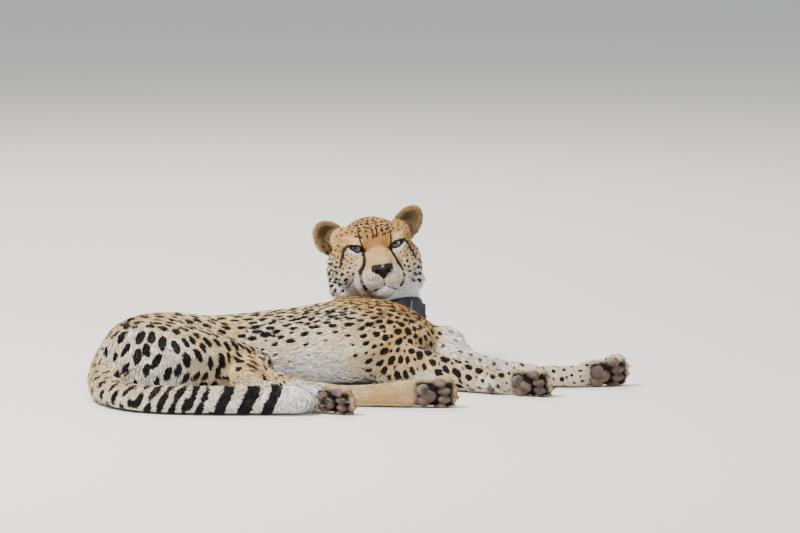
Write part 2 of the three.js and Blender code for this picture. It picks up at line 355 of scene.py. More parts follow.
co = points_of(skin)
broad = np.ones(len(co))
for centre, reach in THIN:
    d = np.linalg.norm(co - at(centre), axis=1) / (reach * MM)
    broad = np.minimum(broad, np.clip((d - 0.8) / 0.6, 0.06, 1))
weigh(skin, "broad", broad)
modify(skin, "SMOOTH", factor=0.5, iterations=28, vertex_group="broad")
modify(skin, "DISPLACE", strength=-COAT_DEPTH, mid_level=0)
keep_above_floor(skin, 0.0012)
print("body skin", [[round(v, 3) for v in c] for c in (points_of(skin).min(0), points_of(skin).max(0))])

# %% [markdown]
# A cheetah's head is small and round, with a short deep muzzle, high round ears and a ruff of fur down
# each cheek. It is pressed together from balls of clay, each named for what lies under the skin there:
# pairs are made once for each side. A finer remesh keeps the lids and lips.

# %% Head forms
SINGLE = [  # centre, radii and tilt about the sideways axis, in millimetres and degrees
    ("braincase", (0, 50, -4), (57, 57, 51), 0), ("forehead", (0, 20, 5), (43, 30, 33), 0),
    ("bridge", (0, -22, -19), (20, 37, 16), 30), ("nose_root", (0, -35, -38), (19, 13, 15), 0),
    ("chin", (0, -30, -72), (21, 18, 13), 0), ("jaw", (0, 2, -64), (38, 42, 21), 0),
    ("throat", (0, 36, -50), (46, 42, 36), 0), ("nape", (0, 92, -18), (46, 34, 44), 0),
]
PAIRED = [
    ("cheekbone", (42, 12, -13), (20, 22, 16), 0), ("cheek", (44, 22, -34), (31, 35, 33), 0),
    ("cheek_front", (28, 6, -36), (22, 23, 28), 0),
    ("ruff", (51, 40, -38), (28, 32, 42), 0), ("low_ruff", (51, 38, -63), (28, 29, 25), 0),
    ("under_eye", (33, 1, -17), (17, 14, 10), 0), ("brow", (32, 11, 15), (21, 13, 9), 0),
    ("muzzle_side", (20, -10, -34), (18, 28, 23), 0), ("eyelid", (34.5, 4, 0.3), (18.2, 18.2, 18.2), 0),
    ("whisker_pad", (15, -34.5, -53), (20, 18, 17), 0), ("lip", (28, -18, -54), (16, 24, 18), 0),
    ("temple", (48, 44, 10), (18, 34, 26), 0), ("ear_root", (58, 64, 14), (17, 15, 20), 0),
]


def ball(name, centre, radii, tilt=0, turn=0, fine=(40, 24)):
    """A smooth ball of clay in the head's own frame."""
    clear()
    bpy.ops.mesh.primitive_uv_sphere_add(segments=fine[0], ring_count=fine[1], radius=1)
    made = bpy.context.object
    made.name = name
    shape = Matrix.Diagonal(Vector([*radii, 1]))
    spin = Matrix.Rotation(math.radians(turn), 4, "Z") @ Matrix.Rotation(math.radians(tilt), 4, "X")
    made.data.transform(HEAD_TO_FRAME @ Matrix.Translation(Vector(centre)) @ spin @ shape)
    return made


def on_side(side, place):
    """A place of the head's left side, or its mirror place on the right."""
    return (side * place[0], *place[1:])


clay = [ball(n, c, r, t) for n, c, r, t in SINGLE]
clay += [ball(n, on_side(side, c), r, t) for side in (-1, 1) for n, c, r, t in PAIRED]
print("head forms", len(clay))

# %% [markdown]
# An ear is a leaf of gristle with a hollow front. A ball squashed to a leaf is hollowed with a smaller
# one by a Boolean modifier. The animal's right ear is broader to us and hangs a little lower.

# %% Ears
EARS = [(-1, 14, 26.5, 33.5), (1, 5, 22.5, 34)]  # side, how far it hangs, and half its width and height
LEAF_THICK = 10.5


def cut(thing, tool):
    """Carves one closed mesh with another, and removes the tool."""
    modify(thing, "BOOLEAN", operation="DIFFERENCE", object=tool, solver="MANIFOLD")
    bpy.data.objects.remove(tool)
    return thing


def ear_pose(side, centre):
    """An ear leans out and turns forward."""
    pose = Matrix.Translation(Vector(on_side(side, centre)))
    for angle, axis in ((8, "X"), (side * 42, "Y"), (side * -16, "Z")):
        pose = pose @ Matrix.Rotation(math.radians(angle), 4, axis)
    return pose


def ear_part(name, side, centre, radii):
    """A ball squashed to a leaf, in an ear's pose."""
    made = ball(name, (0, 0, 0), radii)
    made.data.transform(HEAD_TO_FRAME @ ear_pose(side, centre) @ HEAD_TO_FRAME.inverted())
    return made


for side, drop, wide_by, tall in EARS:
    leaf = ear_part("ear", side, (67, 66, 33 - drop), (wide_by, LEAF_THICK, tall))
    clay.append(cut(leaf, ear_part("hollow", side, (68, 52, 36 - drop), (wide_by - 5, 15, tall - 6))))
print("two ears")

# %% [markdown]
# The upper half of the neck joins the clay, and everything is melted at the finer grain. The ears are
# thin, so they get a quarter of the rubbing down that the rest of the head gets.

# %% One head
HEAD_GRAIN = 0.0021
head = join(clay + [halve(copies(["neck"], "neck_top"), True)], "head_skin")
modify(head, "REMESH", mode="VOXEL", voxel_size=HEAD_GRAIN)
co = (points_of(head) - at_head((0, 0, 0))) @ HEAD.T / MM
ears = np.clip((np.abs(co[:, 0]) - 52) / 12, 0, 1) * np.clip((co[:, 2] + 6) / 10, 0, 1)
weigh(head, "soft", 1 - 0.75 * ears)
modify(head, "SMOOTH", factor=0.5, iterations=24, vertex_group="soft")
print("head clay", len(head.data.polygons), "faces")

# %% [markdown]
# The eyes are half closed against the light. Each eye is a smooth ball set in the head, so first its
# place is hollowed out, and then the gap between the lids is cut: an almond, pointed at both ends and
# with its outer corner raised. What is left in front of the eye is the upper and the lower lid.

# %% Eyelids
EYE_AT = (34.5, EYE_SET, 0.3)
EYE_RADIUS = 15.5
LID_GAP = (12.6, 4.8)  # half the gap's length and height
LID_TILT = 22
LID_CURVE = 0.62  # below 1, the almond is full in the middle


def almond(side):
    """A closed bar with an almond outline that points out of the eye."""
    clear()
    bpy.ops.mesh.primitive_cylinder_add(vertices=48, radius=1, depth=2)
    made = bpy.context.object
    for v in made.data.vertices:
        x, z, depth = v.co
        z = 0 if abs(z) < 1e-6 else math.copysign((1 - min(1, abs(x))) ** LID_CURVE * 0.98, z)
        v.co = (x * LID_GAP[0], depth * 14 - 16, z * LID_GAP[1] + (0.25 if z == 0 else 0))
    place = Matrix.Translation(on_side(side, EYE_AT))
    tilt = Matrix.Rotation(math.radians(-side * LID_TILT), 4, "Y")
    made.data.transform(HEAD_TO_FRAME @ place @ tilt)
    return edit(made, (bpy.ops.mesh.remove_doubles, {"threshold": 1e-6}), OUTWARD)


eyes = []
for side, name in ((-1, "eye_right"), (1, "eye_left")):
    centre = on_side(side, EYE_AT)
    cut(head, ball("hollow", centre, [EYE_RADIUS + 0.35] * 3))
    cut(head, almond(side))
    eyes.append(ball(name + "_ball", centre, [EYE_RADIUS] * 3, fine=(64, 48)))
    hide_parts(name)
print("lids cut, head now", len(head.data.polygons), "faces")

# %% [markdown]
# The nose leather is a broad pad over a narrow keel, with a wing round each nostril. It is made from
# small balls like the head, at a still finer grain, and the nostrils are cut in last.

# %% Nose
NOSE_GRAIN = 0.00085
nose_clay = [ball("pad", (0, -44.5, -32), (18.5, 9.5, 7.5), -20),
             ball("keel", (0, -44.5, -43.5), (8.5, 8.5, 9.5)), ball("tip", (0, -47, -37), (13.5, 8.5, 8.5))]
nose_clay += [ball("wing", (side * 11.5, -43.5, -36.5), (7.5, 9.5, 7.5)) for side in (-1, 1)]
nose = join(nose_clay, "nose")
modify(nose, "REMESH", mode="VOXEL", voxel_size=NOSE_GRAIN)
modify(nose, "SMOOTH", factor=0.5, iterations=8)
for side in (-1, 1):
    cut(nose, ball("nostril", (side * 9, -55, -38), (4.4, 7, 2.9), 0, side * -22))
    cut(nose, ball("slit", (side * 15, -50.5, -39.5), (4.5, 7, 1.5), 0, side * -40))
print("nose", len(nose.data.polygons), "faces")

# %% [markdown]
# The head and the body meet under the collar, so from here on they are one skin. Its faces are laid
# out flat, as a tailor would cut a suit for it, because each tuft of the coat needs to know its place
# on that suit later, when the colours are stored as pictures.

# %% One skin
head_count = len(head.data.vertices)
skin = join([head, skin], "skin")
edit(skin, (bpy.ops.uv.smart_project, {"angle_limit": math.radians(66), "island_margin": 0.001}))
bpy.ops.object.shade_smooth()
skin.data.uv_layers[0].name = "suit"
points = points_of(skin)
normals = numbers(skin.data.vertices, "normal", 3)
is_head = np.arange(len(points)) < head_count
head_local = (points - at_head((0, 0, 0))) @ HEAD.T / MM
mirrored = np.column_stack([np.abs(head_local[:, 0]), head_local[:, 1:]])
print("skin", len(points), "points,", len(skin.data.polygons), "faces")

# %% [markdown]
# Hair lies away from the nose: back over the head and the trunk, down the limbs, out to the tip of the
# tail. So the lie is found by walking. The distance from the nose is measured along the skin, from
# point to point, always going on from the nearest point reached so far. Below the strap the walk
# starts afresh, at the distance that the collar has from the nose.

# %% Walk over the skin
NOSE_TIP = (0, -50, -34)
NECK_REACH = 0.09
COLLAR_WALK = 0.2
COLLAR_HALF = 0.02  # half the strap's width, with a little to spare
edges = numbers(skin.data.edges, "vertices", 2, int)
both_ways = np.concatenate([edges, edges[:, ::-1]])
source, target = both_ways[np.argsort(both_ways[:, 0], kind="stable")].T
starts = np.searchsorted(source, np.arange(len(points) + 1))
lengths = np.linalg.norm(points[source] - points[target], axis=1)
from_strap = (points - strap_at) @ np.array(strap_along)
by_neck = np.linalg.norm(points - strap_at, axis=1) < NECK_REACH
collar_ring = np.flatnonzero(~is_head & (np.abs(from_strap) < COLLAR_HALF) & by_neck)
tip = int(np.argmin(np.linalg.norm(points - at_head(NOSE_TIP), axis=1)))
walked = np.full(len(points), np.inf)
walked[tip] = 0
walked[collar_ring] = COLLAR_WALK
queue = [(walked[i], int(i)) for i in [tip, *collar_ring]]
heapq.heapify(queue)
while queue:
    so_far, i = heapq.heappop(queue)
    if so_far > walked[i]:
        continue
    for k in range(starts[i], starts[i + 1]):
        j, total = target[k], so_far + lengths[k]
        if total < walked[j]:
            walked[j] = total
            heapq.heappush(queue, (total, int(j)))
walked[~np.isfinite(walked)] = 0
print("farthest hair from the nose", round(float(walked.max()), 2), "m")

# %% [markdown]
# The coat is combed in the direction in which that distance grows. Left as it is, the lie would jump
# from one face to the next, so it is blurred over the neighbours and pressed back onto the skin.

# %% The lie of the coat
neighbours = np.maximum(np.bincount(source, minlength=len(points)), 1)


def blur(values, times):
    """Averages each point's value with its neighbours', again and again."""
    values = values.reshape(len(points), -1).copy()
    for _ in range(times):
        near = [np.bincount(source, values[target, k], minlength=len(points)) for k in range(values.shape[1])]
        values = 0.5 * values + 0.5 * np.stack(near, 1) / neighbours[:, None]
    return values


def unit(v):
    return v / np.maximum(np.linalg.norm(v, axis=1, keepdims=True), 1e-9)


def onto_skin(v, normal):
    """The part of each direction that lies along the skin."""
    return unit(v - (v * normal).sum(1, keepdims=True) * normal)


walked = blur(walked, 12)[:, 0]
step = (points[target] - points[source]) * ((walked[target] - walked[source]) / lengths ** 2)[:, None]
lie = np.stack([np.bincount(source, step[:, k], minlength=len(points)) for k in range(3)], 1)
lie = onto_skin(blur(onto_skin(lie, normals), 14), normals)
print("combed", len(lie), "points")

# %% [markdown]
# On the living animal the hair of the trunk runs straight back, and that of the thigh sweeps down and
# forward round the muscle. There the lie is brushed: each stroke pulls it one way, most in its
# middle and ever less out to its reach.

# %% Brush the trunk and the thigh
BRUSHED = [  # place on the drawing, reach in millimetres, and the way that the hair lies there
    ((60, 225, 125), 55, (-0.95, 0.1, 0.3)), ((-40, 150, 110), 90, (-1, -0.1, 0.22)),
    ((-60, 105, 75), 60, (-1, -0.1, 0.15)), ((-180, 120, 105), 80, (-1, -0.2, 0.15)),
    ((-265, -45, 105), 60, (0.85, -0.3, -0.35)), ((-195, -50, 85), 55, (0.8, -0.4, -0.35)),
    ((-330, -20, 125), 45, (0.9, -0.2, -0.1)),
    ((-375, -90, 75), 55, (0.15, -0.3, -1)), ((-310, -95, 60), 50, (0.2, -0.3, -1)),
]
BRUSH_FORCE = 3.0
for place, reach, way in BRUSHED:
    near = np.exp(-(np.linalg.norm(points - at(place), axis=1) / (reach * MM)) ** 2) * ~is_head
    lie = lie + BRUSH_FORCE * near[:, None] * np.array(way)
lie = onto_skin(blur(lie, 6), normals)
print("brushed", len(BRUSHED), "places")

# %% [markdown]
# How the coat looks changes over the body: orange-tan on the back and shoulders, cream on the flanks,
# white below, short on the face and long on the belly. A table lists this at a few known places, and
# each point of the skin takes a blend of the places nearest to it. Each row gives the place and its
# reach, how tan the hair is, how long it is, and the size, spacing and stretch of the spots. All are
# in millimetres except the tan, from 0 for white to 1 for deep orange, and the stretch.

# %% The trunk's coat, place by place
TRUNK_ROWS = [  # place on the drawing, reach, tan, hair, spot, gap, stretch
    ((60, 235, 125), 45, 0.9, 11, 12.0, 17, 1.2), ((-10, 240, 130), 45, 0.88, 11, 12.5, 17, 1.2),
    ((0, 190, 135), 40, 0.62, 11, 12, 15.5, 1.4), ((60, 190, 110), 35, 0.74, 10, 10.8, 14.5, 1.3),
    ((110, 200, 100), 35, 0.7, 10, 11, 15.5, 1.1), ((125, 165, 85), 30, 0.55, 10, 11.2, 15.5, 1.1),
    ((60, 135, 80), 32, 0.56, 11, 11.2, 14.5, 1.2), ((125, 215, 25), 34, 0.08, 24, 0, 20, 1),
    ((60, 300, 60), 45, 0.5, 16, 10, 18, 1.2), ((75, 262, 125), 25, 0.86, 11, 9, 12.5, 1.2),
    ((10, 320, 110), 40, 0.88, 13, 10, 14, 1.2), ((50, 270, 90), 22, 0.85, 11, 9, 12.5, 1.2),
    ((-80, 164, 130), 45, 0.4, 11, 13, 17.5, 1.8), ((-160, 152, 122), 45, 0.4, 11, 13.5, 18.5, 1.8),
    ((-40, 115, 104), 30, 0.24, 12, 12.5, 15.5, 1.9), ((-120, 105, 98), 30, 0.24, 12, 13, 17, 1.9),
    ((0, 112, 82), 24, 0.24, 12, 12, 15, 1.7), ((-80, 102, 80), 24, 0.16, 12, 14, 18, 1.7),
    ((-150, 95, 82), 24, 0.18, 12, 14, 18, 1.6),
    ((-80, 92, 32), 27, 0.0, 30, 0, 30, 1.4), ((0, 105, 32), 27, 0.0, 30, 0, 30, 1.4),
    ((-150, 84, 38), 28, 0.0, 28, 0, 30, 1.4), ((30, 108, 24), 22, 0.04, 24, 0, 30, 1.4),
    ((-60, 110, 20), 50, 0.0, 26, 0, 30, 1.4), ((-80, 98, 60), 19, 0.04, 17, 13, 20, 1.7),
    ((0, 108, 60), 19, 0.07, 16, 13, 19, 1.7), ((40, 112, 62), 18, 0.3, 12, 13, 17, 1.4),
    ((-5, 245, 70), 50, 0.8, 14, 13, 19, 1.3), ((-100, 226, 68), 55, 0.78, 14, 14, 20, 1.3),
    ((-200, 205, 64), 55, 0.72, 14, 14, 20, 1.3), ((-100, 190, 10), 50, 0.4, 12, 12, 22, 1.2),
    ((-240, 120, 120), 45, 0.42, 11, 14, 21, 1.6), ((-300, 72, 134), 45, 0.42, 11, 17.5, 25, 1.3),
    ((-350, 5, 138), 45, 0.42, 11, 17.5, 25, 1.2), ((-370, 120, 80), 45, 0.55, 13, 15, 22, 1.3),
    ((-425, 20, 80), 38, 0.42, 13, 13, 20, 1.2), ((-400, 90, 50), 38, 0.42, 13, 13, 20, 1.2),
]
print("places on the trunk", len(TRUNK_ROWS))

# %% [markdown]
# The legs have shorter hair, down to 5 mm on the paws, so that toes and tendons show. The thigh has the
# largest spots of the coat, and towards the paws they shrink to specks or end. A painted map could hold
# this too, but a table needs no picture, and any one number can be changed by hand.

# %% The limbs' coat
LIMB_ROWS = [  # the same for the legs and paws
    ((-370, -92, 85), 38, 0.16, 15, 18, 27, 1.9), ((-310, -95, 72), 32, 0.1, 16, 18, 27, 2.1),
    ((-400, -70, 60), 34, 0.1, 18, 15, 25, 1.5), ((-340, -110, 40), 34, 0.04, 20, 16, 27, 2.0),
    ((-300, -60, 122), 34, 0.34, 11, 16, 23, 1.5), ((-240, -40, 108), 34, 0.4, 10, 15, 21, 1.7),
    ((-240, -78, 60), 30, 0.26, 14, 16, 25, 1.9), ((-175, 0, 96), 26, 0.42, 10, 13, 18, 1.9),
    ((-150, -20, 60), 24, 0.4, 10, 12, 18, 1.7), ((-190, -75, 66), 28, 0.48, 10, 15, 23, 2.1),
    ((-172, -90, 62), 24, 0.5, 11, 15, 24, 2.4), ((-175, -135, 58), 20, 0.44, 13, 0, 22, 1.2),
    ((-200, -110, 20), 28, 0.35, 14, 8, 24, 1.2), ((-145, -178, 50), 24, 0.25, 16, 0, 22, 1),
    ((-110, -200, 42), 26, 0.0, 18, 0, 22, 1), ((-75, -215, 45), 20, 0.3, 9, 0, 20, 1),
    ((-60, -225, 40), 26, 0.4, 6, 0, 14, 1), ((-250, 20, 30), 50, 0.1, 18, 12, 26, 1.2),
    ((-118, -80, 50), 26, 0.45, 10, 10, 20, 1.9), ((-90, -130, 35), 22, 0.42, 9, 0, 20, 1),
    ((-30, -165, 30), 28, 0.42, 7, 0, 20, 1), ((50, -172, 30), 28, 0.48, 6, 0, 20, 1),
    ((10, -135, 35), 28, 0.4, 7, 0, 18, 1.3), ((95, -165, 40), 28, 0.42, 5, 0, 14, 1.1),
    ((35, 110, 70), 24, 0.5, 11, 11, 14.5, 1.3), ((70, 85, 82), 28, 0.5, 9, 12.4, 18, 1.4),
    ((25, 88, 42), 24, 0.34, 11, 12, 18, 1.3), ((75, 60, 52), 26, 0.42, 9, 13.2, 19, 1.5),
    ((140, 45, 68), 28, 0.4, 8, 15, 20, 1.6), ((200, 12, 56), 24, 0.34, 7, 13.5, 18.5, 1.7),
    ((150, 8, 42), 22, 0.3, 8, 14, 20, 1.6),
    ((240, -8, 50), 20, 0.34, 7, 9, 15, 1.3), ((120, 20, 16), 24, 0.06, 14, 0, 22, 1.3),
    ((215, -25, 12), 24, 0.1, 10, 6, 18, 1.2), ((285, -20, 44), 22, 0.25, 5, 4, 11, 1.1),
    ((275, -35, 20), 26, 0.25, 5, 4, 12, 1.1), ((150, 175, 75), 34, 0.02, 17, 9, 23, 1.4),
    ((150, 235, 70), 32, 0.62, 11, 12, 17, 1.2), ((190, 205, 50), 28, 0.5, 10, 11, 17, 1.2),
    ((215, 160, 45), 26, 0.4, 8, 10, 17, 1.3),
    ((300, 125, 35), 26, 0.36, 7, 9, 16, 1.4),
    ((165, 140, 55), 28, 0.05, 15, 8, 22, 1.3), ((228, 96, 48), 28, 0.1, 9, 8, 20, 1.4),
    ((310, 84, 42), 28, 0.14, 7, 8, 18, 1.4), ((375, 82, 40), 26, 0.16, 6, 5, 14, 1.2),
    ((420, 85, 40), 26, 0.2, 5, 4, 12, 1.1), ((230, 75, 10), 34, 0.04, 11, 6, 20, 1.2),
]
print("places on the limbs", len(LIMB_ROWS))

# %% [markdown]
# The face has the shortest hair, and fine dots instead of spots, so its places lie closer together.
# Longer hair frames it from the cheeks to the throat. The head's two sides are alike, so the table
# gives the left one only, and the right one mirrors it.

# %% The head's coat
HEAD_ROWS = [  # the same in the head's own millimetres, for both sides
    ((0, 30, 44), 18, 0.76, 5, 6.4, 10, 1.25), ((24, 30, 40), 16, 0.72, 5, 6.4, 10, 1.2),
    ((0, 2, 22), 14, 0.82, 4, 4.4, 9, 1.4), ((24, 8, 28), 14, 0.74, 4.5, 5.4, 9.6, 1.2),
    ((48, 30, 28), 18, 0.7, 8, 4.4, 11, 1.2), ((0, 70, 45), 30, 0.78, 9, 7.2, 12, 1.2),
    ((40, 90, 20), 34, 0.82, 11, 8, 13, 1.2), ((0, 100, -10), 40, 0.82, 12, 9, 14, 1.2),
    ((34, -6, 11), 7, 0.36, 3.6, 0, 9, 1), ((44, 2, 12), 9, 0.62, 3.8, 0, 9, 1),
    ((35, -10, -8.5), 5.5, 0.0, 3.4, 0, 9, 1), ((38, -7, -17), 9, 0.34, 4, 2.4, 7, 1),
    ((48, 2, -6), 8, 0.45, 4, 0, 9, 1),
    ((14, -6, 4), 10, 0.84, 3.6, 0, 9, 1), ((0, -8, 4), 12, 0.8, 3.6, 0, 9, 1),
    ((0, -28, -12), 12, 0.56, 3.4, 0, 9, 1),
    ((15, -36, -24), 12, 0.52, 3.4, 0, 9, 1), ((26, -18, -26), 12, 0.44, 4, 0, 9, 1),
    ((16, -44, -46), 12, 0.16, 3.6, 0, 9, 1), ((27, -32, -56), 12, 0.06, 4, 0, 9, 1),
    ((0, -42, -76), 16, 0.0, 6, 0, 9, 1), ((28, -12, -74), 18, 0.0, 9, 0, 12, 1),
    ((50, -2, -22), 14, 0.5, 5, 3.2, 7.5, 1), ((44, -8, -38), 13, 0.22, 6, 4.6, 9, 1),
    ((62, 18, -10), 14, 0.66, 8, 4.4, 10, 1.2), ((64, 20, -36), 16, 0.12, 11, 7.6, 11.5, 1.15),
    ((58, 12, -54), 16, 0.02, 13, 8.8, 12.5, 1.1), ((70, 44, -30), 20, 0.2, 14, 7.6, 12, 1.2),
    ((66, 50, -62), 20, 0.03, 16, 8.5, 14, 1.2), ((40, 20, -80), 24, 0.0, 16, 0, 14, 1),
    ((0, 30, -90), 30, 0.0, 18, 0, 14, 1), ((70, 60, 0), 16, 0.6, 9, 4.4, 11, 1.2),
    ((0, 118, -55), 28, 0.8, 13, 8, 13, 1.2), ((38, 105, -60), 24, 0.74, 13, 8, 13, 1.2),
    ((15, 95, -92), 26, 0.74, 13, 8, 13, 1.2), ((50, 76, -96), 22, 0.5, 13, 8, 13, 1.2),
    ((68, 52, 34), 24, 0.55, 5, 0, 12, 1), ((68, 80, 36), 24, 0.5, 5, 0, 12, 1),
    ((50, 90, -60), 30, 0.5, 14, 8, 14, 1.2), ((0, 10, -112), 30, 0.04, 18, 0, 16, 1),
]
print("places on half the head", len(HEAD_ROWS))

# %% [markdown]
# A place counts for less the farther off it lies, measured in its own reach. The fifth power makes that
# steep, so that each place rules its surroundings and blends with the next in a narrow band.


# %% Blend the places over the skin
def table(rows, to_frame, mirrored_too=False):
    """Places, reaches and values as arrays, in metres."""
    if mirrored_too:
        rows = rows + [(on_side(-1, p), *rest) for p, *rest in rows if p[0]]
    return (to_frame([r[0] for r in rows]), np.array([r[1] for r in rows]) * MM,
            np.array([r[2:] for r in rows], float))


def blend_rows(where, places, reaches, values):
    """Each point's values, blended from the nearest places."""
    d = np.linalg.norm(where[:, None, :] - places[None], axis=2) / reaches[None]
    w = 1 / (d ** 5 + 0.03)
    return (w @ values) / w.sum(1, keepdims=True)


kind = np.zeros((len(points), 5))
kind[~is_head] = blend_rows(points[~is_head], *table(TRUNK_ROWS + LIMB_ROWS, at))
kind[is_head] = blend_rows(points[is_head], *table(HEAD_ROWS, at_head, True))
tan, hair, spot, gap, stretch = kind.T
print("hair from", round(hair.min(), 1), "to", round(hair.max(), 1), "mm")

# %% [markdown]
# A cheetah's spots are solid black ovals, drawn out along the hair, and never closer than a certain
# gap. So their centres are scattered over the skin one by one, each refused if it falls too near
# another. Testing a candidate against all the others would be slow, so the points are first sorted in
# a tree that finds near ones at once.


# %% Find near points
def tree_of(places):
    """Sorts places so that the nearest ones are found fast."""
    made = kdtree.KDTree(len(places))
    for i, p in enumerate(places):
        made.insert(p, i)
    made.balance()
    return made


skin_tree = tree_of(points)
print("sorted", len(points), "points")

# %% [markdown]
# The first pass sets the full spots. Two more drop smaller spots and then dots into the gaps, so that
# the coat looks full but not ruled. The muzzle and throat have none.

# %% Scatter the spots
PASSES = ((0.92, 1.04), (0.8, 0.9), (0.62, 0.45))  # share of the spacing, and of the size
CLOSE_SET, DOTS_BELOW = 20.5, 0.7  # the last pass, of dots, leaves out the wide-set spots of the body
SMALLEST = 2.2


def scatter(free, picked, spacing):
    """Adds points picked at random, no two closer than the spacing, which is longer along the hair."""
    added = []
    reach = spacing * np.sqrt(stretch) * MM

    def clear_round(i):
        near = np.array([j for _, j, _ in skin_tree.find_range(points[i], reach[i])])
        away = (points[near] - points[i]) / MM
        on = (away @ lie[i]) / math.sqrt(stretch[i])
        over = (away @ np.cross(normals[i], lie[i])) * math.sqrt(stretch[i])
        free[near[on ** 2 + over ** 2 < spacing[i] ** 2]] = False

    for i in picked:
        clear_round(i)
    for i in random.permutation(np.flatnonzero(free)):
        if free[i]:
            added.append(i)
            clear_round(i)
    return added


muzzle = is_head & (mirrored[:, 0] < 36) & (mirrored[:, 1] < 8) & (mirrored[:, 2] < -22)
throat = is_head & (mirrored[:, 0] < 44) & (mirrored[:, 1] < 40) & (mirrored[:, 2] < -66)
spotted = (spot > SMALLEST) & ~muzzle & ~throat
picked, scale = [], []
for spacing, scale_to in PASSES:
    free = spotted & (is_head | (gap < CLOSE_SET) | (spacing > DOTS_BELOW))
    added = scatter(free, picked, spacing * gap)
    picked += added
    scale += [scale_to] * len(added)
    print(len(added), "spots at", spacing, "of their spacing")
picked = np.array(picked)

# %% [markdown]
# Each spot is an oval of its own, a little larger or slimmer than its neighbours and turned a little
# off the hair. The markings are kept as a depth: how many millimetres inside a spot a point lies, and
# below nought outside. A slow ripple added to the depth makes the outlines uneven.

# %% Depth inside a spot
OVER_FUR = 0.012  # a spot doesn't show on fur that lies farther than this above or below its place
size = spot[picked] / 2 * np.array(scale) * random.uniform(0.88, 1.14, len(picked)) * MM
long = size * np.sqrt(stretch[picked]) * random.uniform(0.95, 1.12, len(picked))
wide = size / np.sqrt(stretch[picked]) * random.uniform(0.9, 1.08, len(picked))
beside_lie = np.cross(normals[picked], lie[picked])
turned = unit(lie[picked] + 0.22 * beside_lie * random.normal(size=(len(picked), 1)))
spot_tree = tree_of(points[picked])


def ripple(where, wavelength, seed):
    """A smooth waver between about -1 and 1, made of a few crossing sine waves."""
    waves = np.random.default_rng(seed)
    total = np.zeros(len(where))
    for _ in range(5):
        heading = waves.normal(size=3)
        heading /= np.linalg.norm(heading)
        length = wavelength * waves.uniform(0.7, 1.4)
        total += np.sin(where @ heading * 2 * np.pi / length + waves.uniform(0, 6))
    return total / 2.6


def spot_depth(where, facing):
    """How far inside the nearest spots each place lies, in millimetres."""
    near = np.array([[hit[1] for hit in spot_tree.find_n(p, 4)] for p in where])
    best = np.full(len(where), -9.0)
    for i in near.T:
        away = where - points[picked[i]]
        along = (away * turned[i]).sum(1)
        across = (away * np.cross(normals[picked[i]], turned[i])).sum(1)
        through = (away * normals[picked[i]]).sum(1)
        reach = np.sqrt((along / long[i]) ** 2 + (across / wide[i]) ** 2 + (through / OVER_FUR) ** 2)
        depth = (1 - reach) * np.sqrt(wide[i] * long[i]) / MM
        depth[(facing * normals[picked[i]]).sum(1) < 0.1] = -9
        best = np.maximum(best, depth)
    return best


print("the longest spot is", round(float(long.max() / MM * 2)), "mm long")

# %% [markdown]
# The face is drawn rather than scattered: a dark tear line from each eye to the mouth, a shorter one
# behind the eye, dark rims to the lids, brow lines, lips, and rows of fine dots where the whiskers
# root. Each stroke is a chain of points in the head's own millimetres, and both sides mirror.

# %% Lines on the face
STROKES = [  # points across and up, half width, depth behind the eyes that it may reach
    (((23.4, -4), (24.6, -16), (28.6, -27), (34.6, -39.4), (36.6, -50), (34, -60), (29, -66.5)), 2.4, 30),
    (((48.4, 6), (55.2, -3), (60, -15.7), (63, -25)), 2.0, 44),
    (((23.8, 0), (26.7, 12.6), (26.1, 24), (23, 32)), 1.3, 40),
    (((2.5, 17), (4, 28), (6, 40)), 1.2, 44), (((13, 16), (14.5, 25), (12.5, 33)), 0.8, 44),
    (((0, -50), (0, -62.5), (9, -67.5), (18, -71.5), (25, -73)), 0.8, 10),
]
WHISKER_ROOTS = [(10 + 4.2 * k, -45 - 3.2 * row + 0.9 * k) for row in range(4) for k in range(5)]
ROOT_DOT = 0.75
UPPER_RIM, LOWER_RIM = 3.2, 1.7


def beside(p, a, b):
    """For places near the line from a to b: how far along it they lie, from 0 to 1, and how far off."""
    t = np.clip(((p - a) @ (b - a)) / ((b - a) @ (b - a)), 0, 1)
    return t, p - a - t[:, None] * (b - a)


def lid_depth(x, z):
    """How far inside the dark rims of the lids a place lies."""
    c, s = math.cos(math.radians(LID_TILT)), math.sin(math.radians(LID_TILT))
    dx, dz = x - EYE_AT[0], z - EYE_AT[2]
    dx, dz = dx * c + dz * s, dz * c - dx * s
    rim = np.abs(dz) - LID_GAP[1] * np.maximum(0, 1 - np.abs(dx) / LID_GAP[0]) ** LID_CURVE
    rim = np.maximum(rim, np.abs(dx) - LID_GAP[0] - 0.6)
    return np.where(dz > 0, UPPER_RIM, LOWER_RIM) - rim


def stroke_depth(where):
    """How far inside a line of the face each point of the head lies, in millimetres."""
    local = (where - at_head((0, 0, 0))) @ HEAD.T / MM
    x, y, z = np.abs(local[:, 0]), local[:, 1], local[:, 2]
    flat = np.stack([x, z], 1)
    best = np.full(len(where), -9.0)
    for chain, half, back in STROKES:
        for a, b in zip(np.array(chain[:-1], float), np.array(chain[1:], float)):
            off = np.linalg.norm(beside(flat, a, b)[1], axis=1)
            best = np.where(y < back, np.maximum(best, half - off), best)
    for centre in WHISKER_ROOTS:
        best = np.where(y < 0, np.maximum(best, ROOT_DOT - np.linalg.norm(flat - centre, axis=1)), best)
    return np.where(y < 8, np.maximum(best, lid_depth(x, z)), best)


print("strokes on each side of the face:", len(STROKES), "and dots:", len(WHISKER_ROOTS))

# %% [markdown]
# The tail has two coordinates of its own: the way along it and the angle round it. They come from a
# chain of points down its middle.

